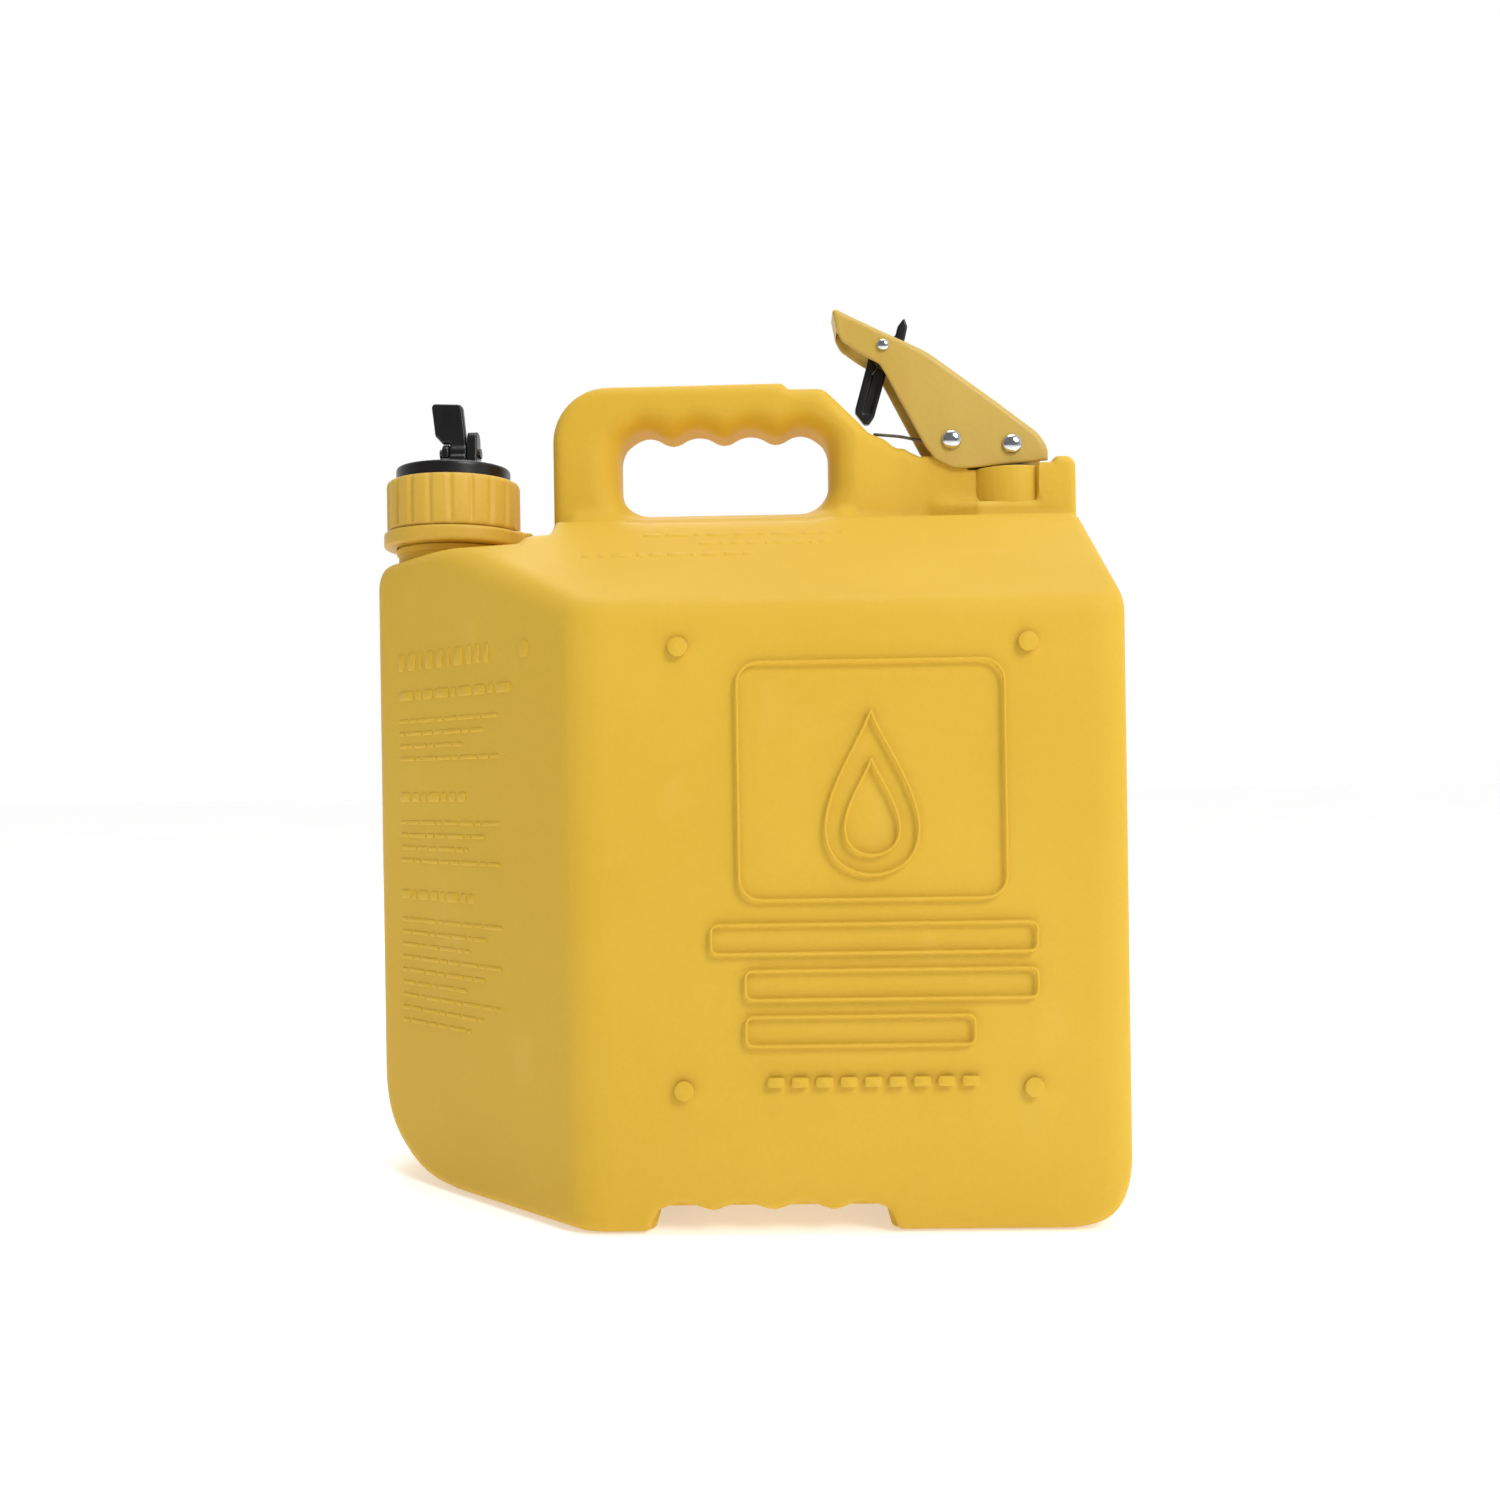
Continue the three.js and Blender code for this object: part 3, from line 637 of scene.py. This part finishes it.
def finger_hole(x, z, grow):
    """The finger hole in side view, with four waves for the fingers along its top."""
    left, right = HOLE_LEFT - grow, HOLE_RIGHT + grow
    floor, top = HOLE_FLOOR - grow, HOLE_TOP + grow
    window = inside_of(rounded([
        (left, floor, HOLE_CORNER), (right, floor, HOLE_CORNER),
        (right, top, HOLE_CORNER), (left, top, HOLE_CORNER),
    ]), x, z)
    wave = WAVE_Z + grow - WAVE_DEPTH * np.cos(TURN * (x - GRIP_MIDDLE) / WAVE_PITCH)
    return both(window, (z - wave) * 0.88, 2)


def closed_tank(x, y, z):
    """The tank without its grip; its edges are tight only round the step in front of the roof."""
    plan, section, side = OUTER
    tight = np.interp(x, (-92, -86, -76, -68), (SIDE_ROUND, 2, 2, SIDE_ROUND))
    edge = np.where(z > DECK_Z - 5, tight, SIDE_ROUND)
    return both(both(inside_of(plan, x, y), inside_of(section, y, z), 9), inside_of(side, x, z), edge)


def filler_shelf(x, y, z):
    """The seat of the filler, with a guard at the rear and a low cheek at each side."""
    half = np.interp(x, (104, 124), (WEB_HALF, FIN_HALF))
    shelf = both(inside_of(SHELF, x, z), np.abs(y) - half, 2.5)
    cheek = both(block((152, -FIN_HALF, 318), (162, FIN_HALF, 339.4), x, y, z, 1.5), 14 - np.abs(y), 1)
    return either(shelf, cheek, 1)


def grip_fin(x, y, z):
    """The grip, which narrows to a thin web under the lever."""
    half = np.interp(x, (56, 66, 86, 98), (FIN_HALF, FIN_HALF - 1.4, WEB_HALF + 1.4, WEB_HALF))
    edge = np.interp(x, (60, 92, 100), (6.5, 5, 1))
    return both(inside_of(FIN, x, z), np.abs(y) - half, edge)


def base_scoops(x, y, z):
    """Four round scoops along each lower edge, for the fingers of the pouring hand."""
    nearest = SCOOP_PITCH * np.clip(np.round((x - SCOOP_MIDDLE) / SCOOP_PITCH - 0.5), -2, 1)
    scoop = bore(x - SCOOP_MIDDLE - SCOOP_PITCH / 2 - nearest, z + 1, SCOOP_RADIUS)
    return np.maximum(scoop, HALF_WIDTH - SCOOP_REACH - np.abs(y))


def tank_outside(x, y, z):
    foot = block((-75, -24.5, 280), (60, 24.5, 316), x, y, z, 4)
    flare = np.interp(x, (-84, -60), (1.5, 9))
    body = either(closed_tank(x, y, z), foot, flare)
    body = either(body, filler_shelf(x, y, z), 4)
    body = either(body, grip_fin(x, y, z), np.minimum(flare, 6))
    body = cut(body, finger_hole(x, z, 0), 14)
    body = cut(body, block((99, -7.2, 344.6), (125, 7.2, 365), x, y, z), 0.6)
    body = cut(body, bore(x - PIVOT[0], z - PIVOT[2], RIVET_BORE), 0.2)
    body = np.maximum(body, x - HALF_LENGTH)
    body = cut(body, inside_of(NOTCH, x, z), 2.5)
    return cut(body, base_scoops(x, y, z), 2.5)


def tank_inside(x, y, z):
    plan, section, side = INNER
    room = both(both(inside_of(plan, x, y), inside_of(section, y, z), 6), inside_of(side, x, z), 4)
    room = cut(room, inside_of(NOTCH_INSIDE, x, z), 3)
    half = np.interp(x, (58, 92), (FIN_HALF - WALL, WEB_HALF - WALL))
    fin = both(inside_of(FIN_INSIDE, x, z), np.abs(y) - half, 3)
    return cut(either(room, fin, 3), finger_hole(x, z, WALL), 6)


def tank():
    """The hollow tank: its outside with both necks, less its inside and both bores."""
    body = skin("tank_shell", tank_outside, [
        ruler((-174, 1.8), (-146, 3), (-98, 2.3), (96, 1.6), (126, 2.2), (154, 1.8), (174, 1.8)),
        ruler((-134, 1.8), (-104, 7), (-34, 2.3), (-15, 1.4), (15, 2.3), (34, 7), (104, 1.8), (134, 1.8)),
        ruler((-3, 1.8), (48, 9), (228, 2.4), (340, 1.9), (384, 1.9)),
    ])
    outlet, filler = (OUTLET_X, 0, 0), (FILLER_X, 0, 0)
    combine(body, "UNION", lathe("neck", NECK, outlet), lathe("filler", FILLER, filler))
    hollow = skin("hollow", tank_inside, [
        ruler((-170, 6), (170, 6)), ruler((-130, 6), (130, 6)), ruler((0, 6), (382, 6)),
    ])
    bores = lathe("outlet_bore", OUTLET_BORE, outlet), lathe("filler_bore", FILLER_BORE, filler)
    combine(body, "DIFFERENCE", hollow, *bores)
    body.data.set_sharp_from_angle(angle=math.radians(50))
    dress(body, TANK_YELLOW, "can", "tank_plastic", "can_body")


# ---- Raised marks on the tank ----
def raised_bar(width, height, rise, place, along=0.0):
    """A flat bar with sloping sides that stands out of a face; place takes (u, v, out) to millimetres."""
    rows = []
    short = min(width, height)
    for inset, out in ((0, MARK_SUNK), (0, rise * 0.4), (min(0.35, short * 0.2), rise)):
        left, right = along - width / 2 + inset, along + width / 2 - inset
        top = height / 2 - inset
        outline = rounded([(u, v, short * 0.25) for u, v in (
            (left, -top), (right, -top), (right, top), (left, top),
        )], 16)
        rows.append([place(u, v, out) for u, v in outline])
    return swept("bar", rows, False)


def raised_line(outline, place, radius=0.7, sunk=0.38):
    """A closed rounded ridge that follows an outline on a face."""
    path = [Vector(place(u, v, -sunk)) for u, v in outline]
    rows = wire_rows(path + path[:1], radius, 8)[:-1]
    return swept("ridge", rows, True)


def raised_disc(u, v, place, rise, steps=32):
    """A low round spot with a sloping edge."""
    rows = []
    for share, out in ((1, MARK_SUNK), (1, rise * 0.5), (0.86, rise), (0.3, rise)):
        r = MARK_SPOT * share
        angles = [TURN * k / steps for k in range(steps)]
        rows.append([place(u + r * math.cos(a), v + r * math.sin(a), out) for a in angles])
    return swept("disc", rows, False)


def drop_outline(u, v, size, points=48):
    """A plain drop that stands upright on its round end."""
    outline = []
    for k in range(points):
        t = TURN * k / points
        outline.append((u + 0.82 * size * math.sin(t) * math.sin(t / 2) ** 1.6, v + size * math.cos(t)))
    return outline


def face_place(origin, across, up, mirror):
    """Maps (u, v, out) on a face to millimetres, on the near side or mirrored to the far side."""
    out = Vector(across).cross(Vector(up))

    def place(u, v, lift):
        spot = Vector(origin) + Vector(across) * u + Vector(up) * v + out * lift
        return (spot.x, spot.y * mirror, spot.z)
    return place


def relief(name, marks):
    """The same raised marks on the near and the far side, as one piece."""
    pieces = []
    for mirror in (1, -1):
        for piece in marks(mirror):
            if mirror == -1:
                piece.data.flip_normals()
            pieces.append(piece)
    joined = merge(name, pieces)
    joined.data.set_sharp_from_angle(angle=math.radians(40))
    dress(joined, RELIEF_YELLOW, "can", "tank_plastic")


def side_marks(mirror):
    """A plain framed drop over three ruled slats, four round mould marks and a row of short bars."""
    face = face_place((0, RELIEF - HALF_WIDTH, 0), (1, 0, 0), (0, 0, 1), mirror)
    rise = RELIEF * 0.85
    marks = [raised_line(rounded([(8, 138, 9), (118, 138, 9), (118, 236, 9), (8, 236, 9)], 32), face)]
    marks.append(raised_line(drop_outline(63, 182, 34), face))
    marks.append(raised_line(drop_outline(63, 176, 20), face))
    for level, left, right in ((122, -4, 130), (103, 10, 130), (84, 10, 104)):
        marks.append(raised_line(rounded([
            (left, level - 6, 3), (right, level - 6, 3), (right, level + 6, 3), (left, level + 6, 3),
        ], 32), face))
    for u, v in ((-16, 243), (128, 243), (128, 60), (-16, 60)):
        marks.append(raised_disc(u, v, face, rise))
    lowest = face_place((0, RELIEF - HALF_WIDTH, 63), (1, 0, 0), (0, 0, 1), mirror)
    marks += [raised_bar(7, 4, rise, lowest, 22 + 10 * k) for k in range(9)]
    return marks


def ragged_row(face, start, end, height, mean, seed):
    """A row of plain bars of uneven length, from start to end along a face."""
    marks = []
    place = start
    while place < end - 2:
        width = mean * (1 + 0.55 * math.sin(2.3 * len(marks) + 1.7 * seed))
        width = min(width, end - place)
        marks.append(raised_bar(width, height, ROW_RISE, face, place + width / 2))
        place += width + 1.1 + 0.22 * height
    return marks


def nose_marks(mirror):
    """Rows of plain bars on the slanted face beside the nose, and one round spot."""
    run = Vector((SHOULDER_X + HALF_LENGTH, NOSE_HALF - HALF_WIDTH + RELIEF, 0)).normalized()
    rows = [(246, 8.5, 5, 96), (230, 4.4, 8, 112)]
    for top, lines in ((218, 4), (170, 4), (124, 9)):
        rows += [(top - 6 * k, 1.9, 9, 104 - 13 * (k % 3)) for k in range(lines)]
    rows += [(182, 4.4, 6, 76), (136, 4.4, 6, 84)]
    marks = []
    for index, (level, height, mean, end) in enumerate(rows):
        face = face_place((-HALF_LENGTH, -NOSE_HALF, level), run, (0, 0, 1), mirror)
        marks += ragged_row(face, 21, end, height, mean, index)
    highest = face_place((-HALF_LENGTH, -NOSE_HALF, 246), run, (0, 0, 1), mirror)
    marks.append(raised_disc(122, 0, highest, ROW_RISE))
    return marks


def roof_marks(mirror):
    """Three rows of plain bars on the slope under the grip."""
    up = Vector((0, HALF_WIDTH - ROOF_HALF, RIDGE_Z - EAVE_Z)).normalized()
    marks = []
    for index, (level, height, mean, start, end) in enumerate((
        (88, 4.4, 8, -36, 58), (76, 3.6, 5, -10, 50), (62, 4.4, 6, -62, 14),
    )):
        origin = Vector((0, -HALF_WIDTH + RELIEF, EAVE_Z)) + up * level
        marks += ragged_row(face_place(origin, (1, 0, 0), up, mirror), start, end, height, mean, index)
    return marks


# ---- Outlet ----
def lock_collar():
    def field(x, y, z):
        x = x - OUTLET_X
        ring = rod(x, y, z, 34.3, 304.5, 312.2, 1.6)
        lug = block((20, -6, 305), (39.8, 6, 312), x, y, z, 1.8)
        return cut(either(ring, lug, 3), bore(x, y, 27.8), 0.6)
    mould("lock_collar_moulding", field, 0.75, RING_YELLOW, "can", "ring_plastic", "lock_collar")


def ring_row(z, radius, depth):
    """One level of the screw ring; depth is the share of the full groove between its ribs."""
    row = []
    for k in range(RING_RIBS * RIB_STEPS):
        phase = (k % RIB_STEPS) / RIB_STEPS
        valley = max(0, 1 - abs(phase - 0.5) / GROOVE_SHARE)
        r = radius - GROOVE_DEPTH * depth * valley ** 0.7
        a = TURN * k / (RING_RIBS * RIB_STEPS)
        row.append((OUTLET_X + r * math.cos(a), r * math.sin(a), z))
    return row


def coupling_ring():
    """A screw ring with twenty broad ribs; the grooves between them fade out at the foot and the crown."""
    low, high = box_mm("coupling_ring")
    foot, crown = low[2], high[2]
    outside = [
        (foot, -1.6, 0), (foot + 0.4, -0.6, 0), (foot + 1.4, 0, 0.3), (foot + 2.6, 0, 1),
        (crown - 3, 0, 1), (crown - 1.6, -0.25, 0.9), (crown - 0.6, -0.9, 0.6), (crown, -2, 0.2),
    ]
    inside = [
        (28.9, crown), (28.4, crown - 0.6), (28.4, 335.2), (28.7, 334.8), (29.6, 334.8),
        (29.6, foot + 0.8), (30.2, foot),
    ]
    rows = [ring_row(z, RIB_RADIUS + offset, depth) for z, offset, depth in outside]
    rows += [ring_row(z, radius, 0) for radius, z in inside]
    ring = swept("coupling_ring_moulding", rows, True)
    ring.data.set_sharp_from_angle(angle=math.radians(55))
    dress(ring, RING_YELLOW, "ring", "ring_plastic", "coupling_ring")


def outlet_disc():
    def lug(x, y, z, x0, x1, top, foot, crown):
        outline = rounded([
            (-foot, 343, 0), (foot, 343, 0), (crown, top, crown * 0.95), (-crown, top, crown * 0.95),
        ])
        return both(inside_of(outline, y, z), np.maximum(x0 - x, x - x1), 0.7)

    def field(x, y, z):
        x = x - OUTLET_X
        disc = rod(x, y, z, 28, 331.5, 344.5, 1.6)
        disc = either(disc, rod(x, y, z, 29.3, 331.5, 334.4, 0.5))
        disc = either(disc, rod(x, y, z, 20.8, 326, 333, 0.5), 0.8)
        disc = cut(disc, rod(x, y, z, 18.8, 320, 331.5), 0.5)
        disc = either(disc, lug(x, y, z, 7.8, 12.8, 363.3, 7, 4.6), 1.2)
        disc = either(disc, lug(x, y, z, -5, -1.5, 357, 4.3, 4.3), 1.2)
        disc = cut(disc, rod(x, y, z, 6.3, 338.5, 350), 0.5)
        disc = cut(disc, rod(x, y, z, 2.8, 320, 350), 0.3)
        return cut(disc, bore(y, z - VENT_PIN_Z, PIN_BORE), 0.2)
    mould("outlet_disc_moulding", field, 0.7, BLACK, "closure", "black_plastic", "outlet_disc")


def vent_lever():
    side = rounded([
        (-1.1, VENT_PIN_Z + 0.5, 0), (7.4, VENT_PIN_Z + 0.5, 0), (7.0, 358, 2), (5.1, 377.1, 2.4),
        (-10.4, 377.7, 2), (-8.6, 361.5, 2), (-4.9, 357.4, 0.6), (-1.1, 357.4, 0),
    ])

    def field(x, y, z):
        x = x - OUTLET_X
        above = z - VENT_PIN_Z
        length = np.maximum(-1.1 - x, x - 7.4)
        eye = both(bore(y, above, 4.4), length, 0.8)
        lobe = both(bore(y + 3.6, above + 3, 2.2), length, 0.8)
        paddle = both(inside_of(side, x, z), np.abs(y) - 2.6, 1.3)
        body = either(either(eye, lobe, 1), paddle, 1.2)
        return cut(body, bore(y, above, PIN_BORE), 0.2)
    mould("vent_paddle", field, 0.5, BLACK, "vent_handle", "black_plastic", "vent_lever")


# ---- Lever, catch and rivets ----
LEVER_SIDE = [
    (-57.7, 67.7, 1.5), (-55, 54.8, 8), (-52.6, 50.1, 8), (-45.1, 44.7, 14), (-39.6, 41.3, 8),
    (-34.4, 38.2, 5), (-31.8, 33.7, 5), (-13.1, -2.1, 14), (-8, -9.2, 8), (0.7, -13.7, 10),
    (7.6, -13.8, 8), (47.7, -10.6, 1.2), (47.4, -4, 9), (42.8, 3.1, 9), (21.6, 19.6, 40),
    (-10.9, 43.9, 40), (-33.9, 55.3, 40),
]
LEVER_HOLLOW = [
    (-54.8, 20), (-54.8, -40), (70, -40), (70, -26), (42.8, 0.7), (21.6, 17.2), (-10.9, 41.5), (-33.9, 52.9),
    (-54.8, 63.6),
]


def lever():
    """A folded channel, open below and at the rear, with a slot for the catch and three pin holes."""
    outline = rounded(LEVER_SIDE)
    folded = rounded([(-57.7, 67.7, 2), (-57.9, -60, 0), (47.8, -60, 0), (47.4, -4, 9)] + LEVER_SIDE[13:])
    slot = CATCH_PIN[0] - PIVOT[0]

    def field(x, y, z):
        x = x - PIVOT[0]
        z = z - PIVOT[2]
        half = np.interp(x, [-50, -20], [10.25, 12.25])
        outer = both(both(inside_of(folded, x, z), np.abs(y) - half, 3), inside_of(outline, x, z), 0.5)
        hollow = both(inside_of(LEVER_HOLLOW, x, z), np.abs(y) - half + 2, 1.2)
        body = cut(outer, hollow, 0.5)
        body = cut(body, block((slot - 9, -2.9, 33), (slot + 18, 2.9, 63), x, y, z, 1), 0.4)
        for pin, radius in ((PIVOT, RIVET_BORE), (LID_PIN, RIVET_BORE), (CATCH_PIN, PIN_BORE)):
            body = cut(body, bore(x + PIVOT[0] - pin[0], z + PIVOT[2] - pin[2], radius), 0.2)
        return body
    mould("lever_pressing", field, 0.85, LEVER_YELLOW, "lever_arm", "lever_paint", "lever")


CATCH_SIDE = [
    (-13.4, -28.5, 1), (-13.4, -30.5, 1), (-9, -36.3, 2), (-6.6, -36.3, 1.5), (-4, -32.6, 3), (1.8, -12.7, 8),
    (4.9, -5.1, 8), (11.5, 4.9, 4), (13.1, 11.9, 4), (11.5, 16.4, 0.6), (8.1, 12, 3), (6.8, 7.1, 3),
    (1.5, 5.2, 4), (-5.4, 0.5, 3),
]


def safety_catch():
    outline = rounded(CATCH_SIDE)

    def field(x, y, z):
        x = x - CATCH_PIN[0]
        z = z - CATCH_PIN[2]
        plate = both(inside_of(outline, x, z), np.abs(y) - 2.2, 0.8)
        groove = inside_of([(-9.4, -31), (-6, -31), (0.5, -9), (-3, -7)], x, z)
        plate = cut(plate, both(groove, 1.5 - np.abs(y)), 0.5)
        return cut(plate, bore(x, z, PIN_BORE), 0.2)
    mould("catch_moulding", field, 0.5, BLACK, "catch", "black_plastic", "safety_catch")


def rivet(name, node, body, shank, head, seat):
    """A round pin with a domed head at each end, each on a short straight rim."""
    top = box_mm(node)[1][1]
    rim = seat + 0.5
    dome = [(head, seat), (head, rim)]
    for k in range(1, 10):
        angle = TURN / 4 * k / 9
        dome.append((head * math.cos(angle), rim + (top - rim) * math.sin(angle)))
    profile = [(0.01, -top)] + [(r, -y) for r, y in reversed(dome[:-1])]
    profile += [(shank, -seat), (shank, seat)] + dome
    centre = centre_mm(node)
    pin = lathe(name, profile, (centre[0], 0, centre[2]), "Y", 40, 60)
    dress(pin, CHROME, body, "rivet_chrome", node)


def coil(pin, radius, start, length, turns, steps):
    """Points round a pin, carried sideways by the length of the coil; steps is the count per turn."""
    points = []
    for k in range(turns * steps + 1):
        a = TURN * k / steps
        side = start + length * k / (turns * steps)
        points.append((pin[0] + radius * math.cos(a), side, pin[2] + radius * math.sin(a)))
    return points


def springs():
    """The lever's return spring round its pivot, and the catch's spring beside the catch."""
    foot = [
        (74.5, -6.5, 357), (81, -6.5, 356.4), (88, -6.5, 355.6), (102, -6.2, 353.2), (110.5, -5.9, 356.9),
        (115.6, -5.7, 354.8),
    ]
    arm = [(114.8, 5.7, 356.2), (109, 6, 360), (99, 6.2, 371)]
    path = smooth_path(foot + coil(PIVOT, 4.6, -5.5, 11, 4, 16) + arm)
    dress(wire("lever_spring_wire", path, 0.75), SPRING, "can", "plain_steel", "lever_spring")
    x, z = CATCH_PIN[0], CATCH_PIN[2]
    arm = [(x + 0.5, -3.2, z - 4), (x - 1.8, -3.1, z - 8), (x - 4.8, -3.1, z - 12)]
    path = smooth_path(coil(CATCH_PIN, 2.7, -7.2, 3.6, 3, 14) + arm)
    dress(wire("catch_spring_wire", path, 0.45), SPRING, "lever_arm", "plain_steel", "catch_spring")


def refinish():
    """Procedural finishes for the CAD nodes that stay."""
    finishes = {
        RUBBER: ("outlet_gasket", "vent_seal", "lid_gasket"),
        BLACK: ("vent_stem",),
        STEEL: ("vent_seal_nut", "lid", "gasket_washer", "gasket_screw"),
        SPRING: ("vent_spring", "vent_lever_pin"),
        ARRESTER: ("outlet_arrester", "filler_arrester"),
    }
    for material, nodes in finishes.items():
        for node in nodes:
            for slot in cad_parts[node].material_slots:
                slot.material = material


# ---- Floor, light and camera ----
FLOOR_Z = -0.0004
AIM = Vector((0, 0, 0.18))
LAMPS = (
    ("key", (1.1, -1.5, 1.5), 1.0, 24),
    ("top", (0.1, -0.2, 2.1), 1.2, 15),
    ("rim", (-0.4, 1.4, 1.5), 1.0, 8),
)
CAMERA_PLACE = (0.01075, -0.74707, 0.18734)
CAMERA_TURN = 0.0184
CAMERA_ROLL = -0.0151
CAMERA_LENS = 36
CAMERA_SHIFT = 0.0205


def stage():
    """A wide pale floor just under the can."""
    bpy.ops.mesh.primitive_plane_add(size=40, location=(0, 0, FLOOR_Z))
    floor = bpy.context.object
    floor.name = "studio_floor"
    shader = Shader("studio_floor")
    pale = shader.ramp(shader.noise(2, 2), 0.3, 0.7, (0.87, 0.87, 0.865, 1), (0.9, 0.9, 0.9, 1))
    links = {"Base Color": pale, "Emission Color": pale}
    floor.data.materials.append(shader.finish(links, Roughness=0.8, Emission_Strength=0.45))


def surroundings():
    """A white backdrop whose light is strongest from behind the can, and dimmer from in front."""
    world = bpy.data.worlds.new("studio")
    world.use_nodes = True
    tree = world.node_tree
    direction = tree.nodes.new("ShaderNodeTexCoord").outputs["Generated"]
    blend = tree.nodes.new("ShaderNodeVectorMath")
    blend.operation = "DOT_PRODUCT"
    blend.inputs[1].default_value = (0.35, 0.94, 0)
    tree.links.new(direction, blend.inputs[0])
    level = tree.nodes.new("ShaderNodeMapRange")
    level.inputs["From Min"].default_value = -0.6
    level.inputs["From Max"].default_value = 0.5
    level.inputs["To Min"].default_value = 0.2
    level.inputs["To Max"].default_value = 1.0
    tree.links.new(blend.outputs["Value"], level.inputs["Value"])
    direct = tree.nodes.new("ShaderNodeLightPath").outputs["Is Camera Ray"]
    strength = tree.nodes.new("ShaderNodeMath")
    strength.operation = "MAXIMUM"
    tree.links.new(level.outputs["Result"], strength.inputs[0])
    tree.links.new(direct, strength.inputs[1])
    tree.links.new(strength.outputs["Value"], tree.nodes["Background"].inputs["Strength"])
    tree.nodes["Background"].inputs["Color"].default_value = (1, 1, 1, 1)
    bpy.context.scene.world = world


def lamps():
    for name, place, size, power in LAMPS:
        lamp = bpy.data.lights.new(name, "AREA")
        lamp.shape = "DISK"
        lamp.size = size
        lamp.energy = power
        holder = bpy.data.objects.new(name, lamp)
        holder.location = place
        holder.rotation_euler = (AIM - Vector(place)).to_track_quat("-Z", "Y").to_euler()
        bpy.context.scene.collection.objects.link(holder)


def camera():
    """A level view of the broad side, turned about one degree, with a slight roll."""
    lens = bpy.data.cameras.new("camera")
    lens.sensor_width = 36
    lens.lens = CAMERA_LENS
    lens.shift_y = CAMERA_SHIFT
    view = bpy.data.objects.new("camera", lens)
    stand = Matrix.Rotation(CAMERA_TURN, 4, "Z") @ Matrix.Translation(CAMERA_PLACE)
    view.matrix_world = stand @ Matrix.Rotation(TURN / 4, 4, "X") @ Matrix.Rotation(CAMERA_ROLL, 4, "Z")
    bpy.context.scene.collection.objects.link(view)
    bpy.context.scene.camera = view
    bpy.context.scene.view_settings.view_transform = "Standard"


camera()
stage()
surroundings()
lamps()
tank()
relief("side_marks", side_marks)
relief("nose_marks", nose_marks)
relief("roof_marks", roof_marks)
lock_collar()
coupling_ring()
outlet_disc()
vent_lever()
lever()
safety_catch()
rivet("pivot_rivet_pin", "pivot_rivet", "can", 2.5, 4.8, 12.55)
rivet("lid_rivet_pin", "lid_rivet", "lever_arm", 2.5, 4.8, 12.55)
rivet("catch_rivet_pin", "catch_rivet", "lever_arm", 1.6, 2.9, 11.85)
springs()
refinish()
